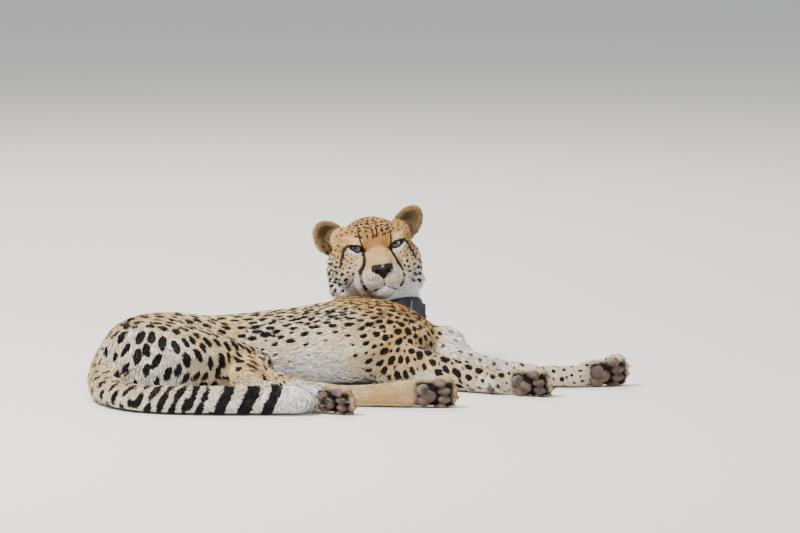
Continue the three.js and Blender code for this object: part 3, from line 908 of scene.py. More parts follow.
# %% Places on the tail
TAIL_LINE = np.array([(-380, 120, 74), (-408, 55, 58), (-420, -45, 31), (-404, -150, 26), (-354, -224, 26),
                      (-270, -251, 26), (-170, -254, 26), (-108, -251, 27), (-92, -250, 28)], float)
tail_steps = np.concatenate([[0], np.cumsum(np.linalg.norm(np.diff(TAIL_LINE, axis=0), axis=1))])
TAIL_LENGTH = tail_steps[-1]


def tail_place(where):
    """Millimetres along the tail, distance from its middle, and angle round it (0 = up)."""
    drawn = (where - SHIFT) / MM
    best, along, angle = (np.full(len(where), v) for v in (1e9, 0.0, 0.0))
    for done, a, b in zip(tail_steps, TAIL_LINE[:-1], TAIL_LINE[1:]):
        length = np.linalg.norm(b - a)
        t, off = beside(drawn, a, b)
        d = np.linalg.norm(off, axis=1)
        side = np.cross((b - a) / length, (0, 0, 1))
        side /= np.linalg.norm(side)
        better = d < best
        best = np.where(better, d, best)
        along = np.where(better, done + t * length, along)
        angle = np.where(better, np.arctan2(off @ side, off @ np.cross(side, (b - a) / length)), angle)
    return along, best, angle


tail_along, tail_off, _ = tail_place(points)
on_tail = (tail_off < 42) & (tail_along > 60) & ~is_head
tail_spots = on_tail[picked]
long[tail_spots] = wide[tail_spots] = 1e-6  # the tail has its own markings instead
print("tail", round(TAIL_LENGTH), "mm,", int(on_tail.sum()), "points")

# %% [markdown]
# On the tail the spots line up in rings, every second ring turned by half a step. Farther out they
# widen until they meet as bands, and after the last broad bands the tip is white. Rings and bands lean,
# with their tops nearer the tip.

# %% Bands on the tail
RING_APART = 21.0
RING_SPOT = 6.6  # half a spot's width along the tail
RING_RADIUS = 28
LEAN = 11
LAST_BANDS = ((0.809, 9.5), (0.872, 11), (0.93, 9))  # place along the tail and half width in mm


def band_depth(along, angle):
    """How far inside a spot or band of the tail each place lies, in millimetres."""
    lean = LEAN * np.cos(angle)
    ring = np.round((along - lean) / RING_APART)
    count = np.where(along < 230, 5, 4)
    turn = angle / (2 * np.pi) * count - (ring % 2) * 0.5
    round_way = np.abs(turn - np.round(turn)) / count * 2 * np.pi * RING_RADIUS
    squeeze = np.interp(along, [120, 300, 420], [1.0, 0.5, 0.26])
    depth = RING_SPOT - np.sqrt((along - ring * RING_APART - lean) ** 2 + (round_way * squeeze) ** 2)
    depth = np.where(along > 0.775 * TAIL_LENGTH, -9, depth)
    for place, half in LAST_BANDS:
        depth = np.maximum(depth, half - np.abs(along - place * TAIL_LENGTH - lean))
    return depth


print("rings", int(0.775 * TAIL_LENGTH / RING_APART), "and bands", len(LAST_BANDS))

# %% [markdown]
# The tail has its own shades: tan above, paler below and white at the tip, with hair that grows longer
# towards the end. On the body the tan wavers a little, so that it doesn't look sprayed on.

# %% Tan on the tail and the body
WHITE_FROM = 0.945  # share of the tail's length
under = np.clip(0.5 - 1.1 * normals[:, 2] - 0.35 * normals[:, 1], 0, 1)
tan = np.where(on_tail, np.interp(tail_along, [60, 300, 500], [0.45, 0.3, 0.16]) * (1 - 0.6 * under), tan)
tan = np.where(on_tail & (tail_along > WHITE_FROM * TAIL_LENGTH), 0.0, tan)
tan = tan + np.clip(tan * 2, 0, 1) * 0.07 * ripple(points, 0.04, 21) * ~is_head
hair = np.where(on_tail, np.interp(tail_along, [60, 420, 560, 640], [12, 13, 17, 22]), hair)
print("tan from", round(float(tan.min()), 2), "to", round(float(tan.max()), 2))

# %% [markdown]
# Soot is brown-black fur without a spot's edge: between the nostrils, inside the ears and on their
# backs. The ear's rim is pale, and a light crescent lies below each eye. An ear's places are found by
# undoing its pose, where it is a plain upright leaf.

# %% Dark and pale places of the head
PALE_LID = np.array([(27.3, -8.5), (34, -9.1), (41.3, -5.9), (45.7, -0.6)])  # across and up, below the eye
PALE_HALF = 2.3
soot = np.clip(1.2 - 0.88 * np.linalg.norm(mirrored - (0, -48, -38), axis=1) / 11, 0, 0.8) * is_head
for side, drop, wide_by, tall in EARS:
    undo = np.array(ear_pose(side, (67, 66, 33 - drop)).inverted())
    local = head_local @ undo[:3, :3].T + undo[:3, 3]
    off = (local[:, 0] / wide_by) ** 2 + ((local[:, 2] - 1) / tall) ** 2
    facing = ((normals @ HEAD.T) @ undo[:3, :3].T)[:, 1]
    depth, height = local[:, 1], local[:, 2]
    hollow = is_head & (off < 0.9) & (facing < 0.25) & (depth < 6) & (depth > -14)
    rim = is_head & (off > 0.9) & (off < 1.3) & (facing < 0.4) & (height > -12) & (np.abs(depth) < 12)
    behind = is_head & (off < 0.62) & (facing > 0.1) & (height < 0.55 * tall) & (np.abs(depth) < 16)
    soot = np.where(hollow, np.maximum(soot, 0.86 - 0.45 * np.clip(off, 0, 1) ** 2), soot)
    soot = np.where(rim, 0.0, np.where(behind, 0.97, soot))
    tan = np.where(rim, 0.24, tan)
for a, b in zip(PALE_LID[:-1], PALE_LID[1:]):
    off = np.linalg.norm(beside(mirrored[:, [0, 2]], a, b)[1], axis=1)
    tan = np.where((off < PALE_HALF) & (mirrored[:, 1] < 8) & is_head, -0.05, tan)
print("dark fur on", int((soot > 0.5).sum()), "points of the head")

# %% [markdown]
# Between the pads of each paw the fur is black. Each paw has a frame of its own: from its palm, the
# toes' way and the way of its top. The sole is what lies under the palm and the toes in that frame.

# %% Soles
PAW_FRAMES = {  # where the palm is, where the toes point, the top of the paw, size
    "hind_paw_right": ((-64, -231, 30), (0.86, -0.48, -0.06), (0.25, 0.92, 0.3), 0.94),
    "hind_paw_left": ((90, -165, 28), (0.99, -0.08, 0.02), (0.05, 0.96, 0.22), 1.0),
    "forepaw_right": ((256, -16, 26), (0.92, -0.38, 0.02), (0.22, 0.92, 0.34), 1.0),
    "forepaw_left": ((380, 82, 25), (0.96, 0.22, 0.1), (0.1, 0.9, 0.34), 1.0),
}
for place, toes, top, scale in PAW_FRAMES.values():
    x = unit(np.array([toes], float))[0]
    z = unit(np.array([top], float) - np.dot(top, x) * x)[0]
    local = (points - at(place)) @ np.array([x, np.cross(z, x), z]).T / MM / scale
    sole = np.clip((2 - local[:, 2]) / 8, 0, 1) * np.clip((local[:, 0] - 6) / 6, 0, 1)
    sole *= np.clip((27 - np.abs(local[:, 1])) / 5, 0, 1) * np.clip((78 - local[:, 0]) / 8, 0, 1)
    soot = np.maximum(soot, sole * ~is_head * (np.abs(local[:, 2]) < 26))
print("soles of", len(PAW_FRAMES), "paws")

# %% [markdown]
# Now every marking comes together in one function, which the locks of the coat will ask again later,
# so that skin and coat always agree. Spots are fainter where they fade into white fur, except on the
# hindquarters. All the numbers are stored on the skin's points, where its material reads them.

# %% All the markings
hind_part = points[:, 0] < at((-195, 0, 0))[0]
ink = np.where(is_head | on_tail | hind_part, 1.0, np.clip(0.62 + 3.0 * tan, 0.62, 1.0))


def marking(where, facing, of_head, of_tail):
    """The depth of the dark markings at any points near the skin, in millimetres."""
    depth = spot_depth(where, facing)
    depth[of_head] = np.maximum(depth[of_head], stroke_depth(where[of_head]))
    along, _, angle = tail_place(where[of_tail])
    depth[of_tail] = band_depth(along, angle)
    return depth + 0.8 * ripple(where, 0.014, 3) * (~of_head + 0.3 * of_head)


def store(thing, name, values):
    """Keeps one number for each point, for the material to read."""
    made = thing.data.attributes.new(name, "FLOAT", "POINT")
    made.data.foreach_set("value", np.asarray(values, np.float32))


mark = marking(points, normals, is_head, on_tail)
# The skin's tipward of 0.35 gives it part of the fur material's painted root shade.
for name, values in (("tan", tan), ("mark", mark), ("soot", soot), ("ink", ink),
                     ("tipward", np.full(len(points), 0.35)), ("shade", np.zeros(len(points)))):
    store(skin, name, values)
print("marked", round(float((mark > 0).mean()), 3), "of the skin")

# %% [markdown]
# Fur is many fine, slightly oily hairs. It has no sharp gloss, only a soft sheen where it turns away
# from us. One material serves the skin and the locks. First it turns the stored numbers into colours:
# from white through cream to orange-tan, with painted shade towards the roots and a waver from clump to
# clump.

# %% Fur: the ground colour
fur, tree, shader = new_material("short_cheetah_fur", Roughness=0.62, IOR=1.5, Specular_IOR_Level=0.16,
                                 Sheen_Weight=0.05, Sheen_Roughness=0.5)
read = {n: add_node(tree, "Attribute", settings={"attribute_name": n}, out="Fac")
        for n in ("tan", "mark", "soot", "ink", "tipward", "shade")}
where = add_node(tree, "TexCoord", out="Object")
clumps = add_node(tree, "TexNoise", {"Vector": where, "Scale": repeats(16.67), "Detail": 4, "Roughness": 0.6})
hairs = add_node(tree, "TexNoise", {  # single hairs, drawn as coarse as 2.4 mm to show
    "Vector": where, "Scale": repeats(2.38), "Detail": 3, "Roughness": 0.65})
SUM, PRODUCT, SCALED = ({"operation": name} for name in ("ADD", "MULTIPLY", "MULTIPLY_ADD"))
waver = add_node(tree, "Math", {0: clumps, 1: 0.22, 2: -0.11}, SCALED)
waver = add_node(tree, "Math", {0: read["shade"], 1: 0.12, 2: waver}, SCALED)
tinted = add_node(tree, "Math", {0: read["tan"], 1: 4, 2: 0.2}, SCALED)
tinted = add_node(tree, "Math", {0: tinted, 1: 1}, {"operation": "MINIMUM"})
waver = add_node(tree, "Math", {0: waver, 1: tinted}, PRODUCT)
ground = add_node(tree, "ValToRGB", {0: add_node(tree, "Math", {0: read["tan"], 1: waver}, SUM)}, stops=[
    (0.0, "#F6F6F6"), (0.16, "#EEE2CC"), (0.4, "#DFC494"), (0.66, "#CB9E5C"), (0.95, "#A06B2F")])
# Painted shade: each lock darkens towards its root, and the skin with it, as if shaded by the hair above; the
# fine noise adds tone from hair to hair.
root_shade_and_hair_tone = add_node(tree, "Math", {0: hairs, 1: 0.4}, PRODUCT)
root_shade_and_hair_tone = add_node(tree, "Math", {0: read["tipward"], 1: 0.75, 2: root_shade_and_hair_tone}, SCALED)
light = add_node(tree, "ValToRGB", {0: root_shade_and_hair_tone}, stops=[(0.1, (0.62, 0.6, 0.58, 1)), (0.75, WHITE)])
BLEND, DARKEN = ({"data_type": "RGBA", "blend_type": name} for name in ("MIX", "MULTIPLY"))
ground = add_node(tree, "Mix", {0: 0.85, 6: ground, 7: light}, DARKEN, out=2)
print("ground colour", len(tree.nodes), "nodes")

# %% [markdown]
# Then the markings go over it, brown-black and roughened at the edge, because hairs overlap there. Soot
# comes last. The same fine noise that shades the hairs also raises them a little.

# %% Fur: markings and hairs
edge = add_node(tree, "Math", {0: hairs, 1: 2.6, 2: -1.3}, SCALED)
edge = add_node(tree, "Math", {0: read["mark"], 1: edge}, SUM)
edge = add_node(tree, "Math", {0: edge, 1: 0.25, 2: 0.5}, SCALED)
inside = add_node(tree, "ValToRGB", {0: edge}, stops=[(0.38, BLACK), (0.52, WHITE)])
inside = add_node(tree, "Math", {0: inside, 1: read["ink"]}, PRODUCT)
spot_black = add_node(tree, "Mix", {
    0: read["shade"], 6: linear("#0E0B0C"), 7: linear("#1D1615")}, BLEND, out=2)
coloured = add_node(tree, "Mix", {0: inside, 6: ground, 7: spot_black}, BLEND, out=2)
soil = add_node(tree, "ValToRGB", {0: read["soot"]}, stops=[(0.88, "#3B2B1D"), (0.96, "#120E0C")])
coloured = add_node(tree, "Mix", {0: read["soot"], 6: coloured, 7: soil}, BLEND, out=2)
raised = add_node(tree, "Bump", {"Height": hairs, "Strength": 0.55, "Distance": 0.0016})
feed(shader, {"Base Color": coloured, "Normal": raised})
skin.data.materials.clear()
skin.data.materials.append(fur)
print("fur material", len(tree.nodes), "nodes")

# %% [markdown]
# The coat stands over the skin as many small locks. One lock is a three-sided spike, cut once across
# so that it can bend. It is modelled once, and then every copy gets its own root, length and lean, is
# laid down along the coat, and takes its markings from the places that it covers.

# %% One lock
MID_LEVEL = 0.45  # where the spike is cut across
clear()
bpy.ops.mesh.primitive_cone_add(vertices=3, radius1=1, radius2=0, depth=1, location=(0, 0, 0.5))
lock = bpy.context.object
bpy.ops.object.transform_apply(location=True, rotation=False, scale=False)
edit(lock, (bpy.ops.mesh.bisect, {"plane_co": (0, 0, MID_LEVEL), "plane_no": (0, 0, 1)}))
lock_points = points_of(lock)
lock_faces = [tuple(f.vertices) for f in lock.data.polygons]
lock_up = lock_points[:, 2].copy()
spread = np.linalg.norm(lock_points[:, :2], axis=1, keepdims=True)
lock_round = lock_points[:, :2] / np.maximum(spread, 1e-9) * (spread > 1e-6)
bpy.data.objects.remove(lock)
print("one lock:", len(lock_points), "points,", len(lock_faces), "faces")

# %% [markdown]
# Some places stay bare: the gap between the lids, the nose leather, the side that lies on the floor,
# where no light comes, and the strip under the collar. The strap also presses the hair short on the
# head's side of it, and farther off the hair grows back to its full length.

# %% Bare places
STRAP_RADIUS = 0.067
PRESSED = 7  # how long hair beside the strap stays, in millimetres
bare = np.zeros(len(points))
for side in (-1, 1):
    gap_at = at_head(on_side(side, (EYE_AT[0], EYE_AT[1] - 12, EYE_AT[2])))
    bare = np.maximum(bare, np.linalg.norm((points - gap_at) / MM, axis=1) < 9.5)
bare = np.maximum(bare, is_head & (np.linalg.norm((head_local - (0, -50, -36)) / (1.3, 1, 0.9), axis=1) < 10))
bare = np.maximum(bare, (points[:, 2] < 0.006) & (normals[:, 2] < -0.5))
from_axis = np.linalg.norm(points - strap_at - from_strap[:, None] * np.array(strap_along), axis=1)
by_strap = from_axis < STRAP_RADIUS
bare = np.maximum(bare, (np.abs(from_strap) < COLLAR_HALF) & by_strap)
grown_back = PRESSED + np.maximum(from_strap - COLLAR_HALF, 0) / MM
hair = np.where(is_head & by_strap & (from_strap > 0), np.minimum(hair, grown_back), hair)
print("bare", round(float(bare.mean()), 3), "of the points")

# %% [markdown]
# Locks grow thickest where hair is short. A triangle of the skin gets its locks by its area and the
# cover wanted there, and each root lies somewhere inside its triangle.

# %% Where the locks grow
LOCKS = 112000
skin.data.calc_loop_triangles()
corners = numbers(skin.data.loop_triangles, "vertices", 3, int)
loops = numbers(skin.data.loop_triangles, "loops", 3, int)
suit = numbers(skin.data.uv_layers["suit"].data, "uv", 2)[loops]
a, b, c = (points[corners[:, k]] for k in range(3))
area = np.linalg.norm(np.cross(b - a, c - a), axis=1) / 2 / MM ** 2
width = 1.0 + 0.055 * hair
cover = np.where(is_head, 2.6, 2.1) * (1 - bare)  # how many locks lie over one another
weight = area * (cover / (width * hair))[corners].mean(1)
face = np.sort(random.choice(len(corners), LOCKS, p=weight / weight.sum()))
share = random.random((LOCKS, 3)) ** 0.8
share /= share.sum(1, keepdims=True)


def carried(values):
    """A value of the skin's points, at the roots of the locks."""
    v = values[corners[face]]
    return (v * (share if v.ndim == 2 else share[:, :, None])).sum(1)


root, out = carried(points), unit(carried(normals))
along = onto_skin(carried(lie) + 0.001, out)
root_uv = (suit[face] * share[:, :, None]).sum(1)
root_hair, root_width = carried(hair) * MM, carried(width) * MM
print("locks wanted by the cover", round(weight.sum()), "and made", LOCKS)

# %% [markdown]
# Each lock leaves the skin at a low angle, along the lie, a little astray. Long hair strays more, parts
# into wavy strands and droops. The lock's points are laid out in rings: its root just under the skin,
# its middle lifted, and its tip.

# %% Comb and bend them
DROOP = 0.28
across = np.cross(out, along)
long_hair = np.clip((root_hair / MM - 15) / 14, 0, 1)
stray = random.normal(size=(LOCKS, 2))
root_length = root_hair * random.uniform(0.75, 1.15, LOCKS)
heading = unit(along + (0.13 + 0.22 * long_hair)[:, None] * (across * stray[:, :1]) + out * 0.03
               + (0.35 * long_hair)[:, None] * ripple(root, 0.05, 9)[:, None] * across
               - (DROOP * long_hair)[:, None] * np.array((0, 0, 1)))
heading = onto_skin(heading, out)
rise = 0.10 + 0.05 * random.random(LOCKS) + 0.03 * long_hair
tip_rise = rise * root_length + 0.0009
mid_rise = tip_rise * random.uniform(0.75, 1.05, LOCKS)
sideways = np.cross(out, heading)
blocks = []
for t, (rx, ry) in zip(lock_up, lock_round):
    if t < 0.01:
        centre = root - out * 0.0008
    elif t > 0.99:
        centre = root + heading * root_length[:, None] + out * tip_rise[:, None]
    else:
        centre = root + heading * (0.48 * root_length)[:, None] + out * mid_rise[:, None]
    girth = root_width * np.interp(t, [0, MID_LEVEL, 1], [0.42, 0.5, 0])
    blocks.append(centre + sideways * (rx * girth)[:, None] + out * (0.45 * ry * girth)[:, None])
lock_mesh = np.stack(blocks, 1)
lock_mesh[:, :, 2] = np.maximum(lock_mesh[:, :, 2], 0.0006)  # none pierces the floor
print("locks up to", round(float(root_length.max()) * 1000), "mm long")

# %% [markdown]
# A lock's root, middle and tip lie over different places, so each level asks for its own marking. That
# draws a spot's edge out along the hair, as on the real coat.

# %% Markings on the locks
root_head = is_head[corners[face][:, 0]]
root_tail = on_tail[corners[face][:, 0]]
shade = np.clip(random.normal(0, 0.45, LOCKS), -1, 1)
lock_mark = np.zeros((LOCKS, len(lock_up)))
for height in sorted({round(float(t), 2) for t in lock_up}):
    covered = root + heading * (root_length * height * 0.8)[:, None]
    same = np.abs(lock_up - height) < 0.02
    lock_mark[:, same] = marking(covered, out, root_head, root_tail)[:, None]
lock_mark += random.normal(0, 0.5, LOCKS)[:, None]
print("markings laid on the locks, black share", round(float((lock_mark > 0).mean()), 3))

# %% [markdown]
# The locks are stored in pieces by part of the body, each small enough to keep all its faces. Every
# lock also gets a tiny patch of its own on the suit laid out flat before, at its root's place, so its
# colours can be stored in a picture without running into its neighbours'.

# %% Lay the locks in pieces
PIECE = 19000
PATCH_HALF = 0.0013
rank = np.lexsort((root[:, 1], root[:, 0] + 10 * root_tail - 10 * root_head))
face_sizes = [len(f) for f in lock_faces]
flat_faces = np.concatenate([np.array(f) for f in lock_faces])
patch = PATCH_HALF * np.column_stack([lock_round[:, 0] * np.interp(lock_up, [0, MID_LEVEL, 1], [1, 0.9, 0]),
                                      lock_up * 2 - 1 + 0.25 * lock_round[:, 1]])
values = {"tan": carried(tan), "soot": carried(soot), "ink": carried(ink), "shade": shade}


def lay(name, mine):
    """One piece of coat, made of the locks with those numbers."""
    n, v = len(mine), len(lock_up)
    mesh = bpy.data.meshes.new(name)
    mesh.vertices.add(n * v)
    mesh.vertices.foreach_set("co", lock_mesh[mine].ravel())
    ids = (flat_faces[None] + v * np.arange(n)[:, None]).ravel()
    mesh.loops.add(len(ids))
    mesh.loops.foreach_set("vertex_index", ids)
    mesh.polygons.add(n * len(face_sizes))
    mesh.polygons.foreach_set("loop_start", np.concatenate([[0], np.cumsum(np.tile(face_sizes, n))[:-1]]))
    mesh.update(calc_edges=True)
    mesh.validate()
    coat = bpy.data.objects.new(name, mesh)
    bpy.context.collection.objects.link(coat)
    patches = (root_uv[mine][:, None] + patch[None]).reshape(-1, 2)
    mesh.uv_layers.new(name="OFBake").data.foreach_set("uv", patches[ids].ravel())
    for key, value in values.items():
        store(coat, key, np.repeat(value[mine], v))
    store(coat, "mark", lock_mark[mine].ravel())
    store(coat, "tipward", np.tile(lock_up, n))
    mesh.materials.append(fur)
    only(coat)
    bpy.ops.object.shade_smooth()
    return coat


coats = [lay(f"coat_{k + 1}", rank[start:start + PIECE]) for k, start in enumerate(range(0, LOCKS, PIECE))]
print(len(coats), "pieces of coat,", LOCKS * sum(n - 2 for n in face_sizes), "triangles")

# %% [markdown]
# The eye is a wet ball. Only a ring of amber iris round a small round pupil shows between the lids,
# darker at its rim. Each point of the ball knows how far it lies from the middle of the pupil, and a
# colour ramp paints the rings from that. A clear coat gives the wet gloss.

# %% Eyes
LOOK = np.array(Vector((-0.16, -1, 0.02)).normalized())
BEHIND = 20  # rings of the ball's back, which has no iris
eye_wet, tree, shader = new_material("wet_cornea", Roughness=0.12, Coat_Weight=1.0, Coat_Roughness=0.03)
ring = add_node(tree, "Attribute", settings={"attribute_name": "ring"}, out="Fac")
fibres = add_node(tree, "TexNoise", {
    "Vector": add_node(tree, "TexCoord", out="Object"), "Scale": repeats(1.11), "Detail": 2})
seen = add_node(tree, "Math", {0: fibres, 1: 1.1, 2: ring}, SCALED)
seen = add_node(tree, "Math", {0: seen, 1: 0.05}, PRODUCT)
feed(shader, {"Base Color": add_node(tree, "ValToRGB", {0: seen}, stops=[
    (0.20, "#060505"), (0.23, "#33261A"), (0.34, "#6B5436"), (0.44, "#4E3D29"), (0.5, "#0F0B09")])})
for side, eye in zip((-1, 1), eyes):
    local = (points_of(eye) - at_head(on_side(side, EYE_AT))) @ HEAD.T / MM
    off = np.linalg.norm(np.cross(local, LOOK), axis=1)
    store(eye, "ring", np.where(local @ LOOK > 0, off, BEHIND))
    eye.data.materials.clear()
    eye.data.materials.append(eye_wet)
print("eyes painted")

# %% [markdown]
# The nose is bare black leather with a fine pebbled grain, barely moist, so it shines little. The pads
# are tougher leather, grey-brown and dusty, with creases. Claws are streaked horn, worn at the tips.
# Each leather has painted shade in the grooves between its pebbles.

# %% Nose leather, pad leather and horn
def leather(name, low, high, grain, rough, depth):
    """Bare skin or hide: two tones in patches, pebbles of a given size in millimetres, and painted shade in
    their grooves.
    """
    made, tree, shader = new_material(name, Roughness=rough)
    where = add_node(tree, "TexCoord", out="Object")
    patches = add_node(tree, "TexNoise", {"Vector": where, "Scale": repeats(grain / 0.12), "Detail": 4})
    pebbles = add_node(tree, "TexVoronoi", {"Vector": where, "Scale": repeats(grain)},
                       {"feature": "DISTANCE_TO_EDGE"}, out="Distance")
    tone = add_node(tree, "ValToRGB", {0: patches}, stops=[(0.35, low), (0.68, high)])
    # Painted shade: the colour darkens along the grooves between the pebbles.
    groove_shade = add_node(tree, "ValToRGB", {0: pebbles}, stops=[(0.0, (0.55, 0.55, 0.55, 1)), (0.12, WHITE)])
    dome = add_node(tree, "ValToRGB", {0: pebbles}, stops=[(0, BLACK), (0.3, WHITE)])
    feed(shader, {"Base Color": add_node(tree, "Mix", {0: 1.0, 6: tone, 7: groove_shade}, DARKEN, out=2),
                  "Normal": add_node(tree, "Bump", {"Height": dome, "Strength": 0.6, "Distance": depth})})
    return made, shader


nose_leather, shader = leather("moist_nose_leather", "#040405", "#0C0B0E", 1.11, 0.5, 0.0003)
feed(shader, {"Specular IOR Level": 0.28})
nose.data.materials.clear()
nose.data.materials.append(nose_leather)
pad_leather, _ = leather("paw_pad_leather", "#2C241F", "#776050", 1.92, 0.55, 0.0006)
horn, tree, shader = new_material("claw_horn", Roughness=0.35)
streaks = add_node(tree, "TexNoise", {
    "Vector": add_node(tree, "TexCoord", out="Object"), "Scale": repeats(1.43), "Detail": 2})
feed(shader, {"Base Color": add_node(tree, "ValToRGB", {0: streaks}, stops=[
    (0.3, "#241B16"), (0.75, "#5A4A3C")])})
print("three bare materials")

# %% [markdown]
# Each paw rests on leathery pads: one under each toe and a lobed one under the palm. The soles of
# three paws are turned to us, so the pads show well. They are pressed from balls in the paw's own
# frame, melted together only within the palm, and sit a little proud of the fur. The near foreleg also
# shows the small pad behind its wrist.

# %% Pads
TOES = [(61 - 5 * abs(k) ** 1.5, 14.3 * k) for k in (-1.5, -0.5, 0.5, 1.5)]  # along and across the paw
PALM = [((33, 0, -11), (14, 13, 9), 0)]  # centre, radii and turn of each ball
PALM += [((23, side * 9.5, -11), (13, 9.5, 8.5), side * 20) for side in (1, -1)]
TOE_PADS = [((x, y, -9.5), (12, 7.3, 8.2), 0) for x, y in TOES]
WRIST_PAD = ((-26, 5, -13), (8, 8, 9), 0)
PAD_GRAIN = 0.0012


def paw_matrix(name):
    """From a paw's millimetres to the frame."""
    place, toes, top, scale = PAW_FRAMES[name]
    x = Vector(toes).normalized()
    y = Vector(top).cross(x).normalized()
    turn = Matrix((x, y, x.cross(y))).transposed().to_4x4()
    return Matrix.Translation(Vector(at(place).tolist())) @ turn @ Matrix.Scale(MM * scale, 4)


def paw_ball(matrix, centre, radii, turn):
    """A ball in a paw's own frame."""
    clear()
    bpy.ops.mesh.primitive_uv_sphere_add(segments=24, ring_count=14, radius=1)
    made = bpy.context.object
    shape = Matrix.Rotation(math.radians(turn), 4, "Z") @ Matrix.Diagonal(Vector([*radii, 1]))
    made.data.transform(matrix @ Matrix.Translation(Vector(centre)) @ shape)
    return made


def press(name):
    """All the pads of one paw, melted together where they meet."""
    parts = PALM + TOE_PADS + ([WRIST_PAD] if name == "forepaw_right" else [])
    pad = join([paw_ball(paw_matrix(name), *part) for part in parts], "pads_" + name)
    modify(pad, "REMESH", mode="VOXEL", voxel_size=PAD_GRAIN)
    modify(pad, "SMOOTH", factor=0.5, iterations=6)
    keep_above_floor(pad, 0.0008)
    pad.data.materials.append(pad_leather)
    return pad


print("a paw has", len(TOE_PADS), "toe pads, and its palm is", len(PALM), "balls")

# %% [markdown]
# A cheetah's claws never draw in fully, so blunt tips stand out between the toe hairs. A claw is a
# slim cone, cut into short lengths and curved down along an arc. Each paw gets its pads and then its
# claws, so that the pieces of a paw stay together in the list.

# %% Claws
CLAW_LONG = 13
CLAW_CURL = 0.035
CLAW_AHEAD = 19  # from the middle of a toe to the claw's


def claw_tip(matrix, x, y):
    """One claw, curved down over the end of a toe."""
    clear()
    bpy.ops.mesh.primitive_cone_add(vertices=10, radius1=2.6, radius2=0.5, depth=CLAW_LONG)
    tip = edit(bpy.context.object, (bpy.ops.mesh.subdivide, {"number_cuts": 3}))
    for v in tip.data.vertices:
        v.co.x, v.co.z = v.co.z, v.co.x - CLAW_CURL * (v.co.z + CLAW_LONG / 2) ** 2
    tip.data.transform(matrix @ Matrix.Translation((x + CLAW_AHEAD, y, 3)))
    return tip


pads, claws = [], []
for name in PAW_FRAMES:
    pads.append(press(name))
    claw = edit(join([claw_tip(paw_matrix(name), x, y) for x, y in TOES], "claws_" + name), OUTWARD)
    claw.data.materials.append(horn)
    claws.append(claw)
print("pads", sum(len(p.data.polygons) for p in pads), "faces, claws", len(claws) * len(TOES))

# %% [markdown]
# Whiskers are stiff white hairs, nearly as long as the muzzle is wide, in rows on each lip, with a few
# over each eye. One is a slim cone cut into short lengths, so that each copy can be bent in an arc.

# %% One whisker
clear()
bpy.ops.mesh.primitive_cone_add(vertices=4, radius1=1, radius2=0.12, depth=1, location=(0, 0, 0.5))
whisker = bpy.context.object
bpy.ops.object.transform_apply(location=True, rotation=False, scale=False)
for height in (0.2, 0.4, 0.6, 0.8):
    edit(whisker, (bpy.ops.mesh.bisect, {"plane_co": (0, 0, height), "plane_no": (0, 0, 1)}))
straight = points_of(whisker)
bristle, tree, shader = new_material("white_whisker", Roughness=0.4)
tone = add_node(tree, "TexNoise", {"Vector": add_node(tree, "TexCoord", out="Object"), "Scale": repeats(5)})
feed(shader, {"Base Color": add_node(tree, "ValToRGB", {0: tone}, stops=[
    (0.3, "#CFC8BE"), (0.7, "#F2EEE8")])})
print("one whisker:", len(straight), "points")

# %% [markdown]
# The rows of the lips start where the dark dots are drawn. Each whisker gets its own length and way, and
# sags a little more towards its tip. Those over the eyes are shorter and point up.

# %% Whiskers
HAIR_THICK = 0.34
BROW_ROOTS = [(36, -10, 14), (40, -8, 15)]
grown = []
for side in (-1, 1):
    roots = [(side * x, -51 + 0.9 * (x - 10), z) for x, z in WHISKER_ROOTS if x > 12]
    for k, root_at in enumerate(roots + [on_side(side, r) for r in BROW_ROOTS]):
        on_brow = k >= len(roots)
        copy = bpy.data.objects.new("whisker", whisker.data.copy())
        bpy.context.collection.objects.link(copy)
        reach = (34 + 14 * random.random()) * (0.7 if on_brow else 1.0)
        up = 0.9 if on_brow else random.uniform(-0.35, 0.15)
        way = Vector((side * 1.0, -0.25 + 0.35 * random.random(), up)).normalized()
        side_a = way.orthogonal().normalized()
        side_b = way.cross(side_a)
        t = straight[:, 2:3]
        bend = np.array([side * -4, 14, -12]) * t ** 2
        girth = HAIR_THICK * (straight[:, :1] * np.array(side_a) + straight[:, 1:2] * np.array(side_b))
        shape = at_head(np.array(root_at) + t * reach * np.array(way) + bend + girth)
        copy.data.vertices.foreach_set("co", shape.ravel())
        grown.append(copy)
bpy.data.objects.remove(whisker)
whiskers = edit(join(grown, "whiskers"), OUTWARD)
whiskers.data.materials.append(bristle)
print("whiskers", len(grown))

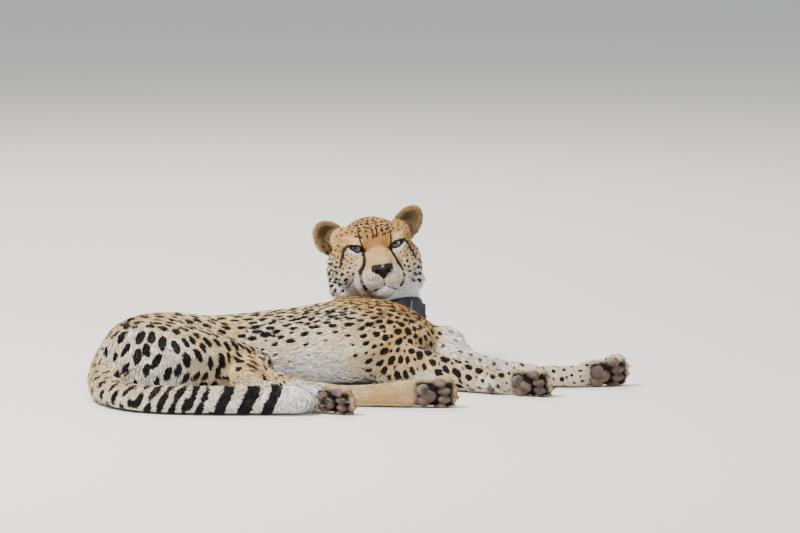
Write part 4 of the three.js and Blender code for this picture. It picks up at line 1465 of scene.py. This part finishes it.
# %% [markdown]
# The collar is a broad strap of dark oiled leather with a sealed case of moulded plastic at the throat.
# Both keep the CAD's shapes, but their edges are rounded, as worn leather and moulded plastic are. The
# case is left bare. Its plastic has a fine spark grain from the mould, and dust dulls it in places.

# %% Collar
strap = modify(copies(["collar_strap"], "strap"), "BEVEL", width=0.0009, segments=2,
               limit_method="ANGLE", angle_limit=math.radians(50))
case = modify(copies(["collar_case"], "case"), "BEVEL", width=0.003, segments=4,
              limit_method="ANGLE", angle_limit=math.radians(40))
moulded, tree, shader = new_material("moulded_abs_case")
where = add_node(tree, "TexCoord", out="Object")
spark = add_node(tree, "TexNoise", {  # spark grain, drawn as coarse as 0.7 mm to show
    "Vector": where, "Scale": repeats(0.714), "Detail": 2})
dust = add_node(tree, "TexNoise", {"Vector": where, "Scale": repeats(22.2), "Detail": 5})
grey = add_node(tree, "ValToRGB", {0: dust}, stops=[(0.35, "#12161C"), (0.75, "#272E38")])
feed(shader, {"Base Color": grey,
              "Roughness": add_node(tree, "Math", {0: dust, 1: 0.3, 2: 0.35}, SCALED),
              "Normal": add_node(tree, "Bump", {"Height": spark, "Strength": 0.3, "Distance": 0.0002})})
hide, _ = leather("oiled_strap_leather", "#100E0F", "#211C1B", 1.67, 0.55, 0.0004)
for piece, name, finish in ((strap, "collar_strap", hide), (case, "collar_case", moulded)):
    only(piece)
    bpy.ops.object.shade_smooth_by_angle(angle=math.radians(50))
    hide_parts(name)
    piece.data.materials.clear()
    piece.data.materials.append(finish)
print("collar", len(strap.data.polygons), "and", len(case.data.polygons), "faces")

# %% [markdown]
# Nothing on the animal moves, so every piece rides on the one body. The skin stands for all the solids
# of flesh, which are hidden. The coat may stand only a little proud of the solids.

# %% Finish
finishes = [("coat", [skin, whiskers, *coats, *pads, *claws, nose]), ("eye", eyes),
            ("collar_strap", [strap]), ("collar_case", [case])]
for slot, pieces in finishes:
    for piece in pieces:
        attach(piece, "root")
for piece in [nose, whiskers, *eyes, *pads, *claws]:
    only(piece)
    bpy.ops.object.shade_smooth()
flesh = [n for n in nodes if not n.startswith(("eye", "collar"))]
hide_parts(*flesh)
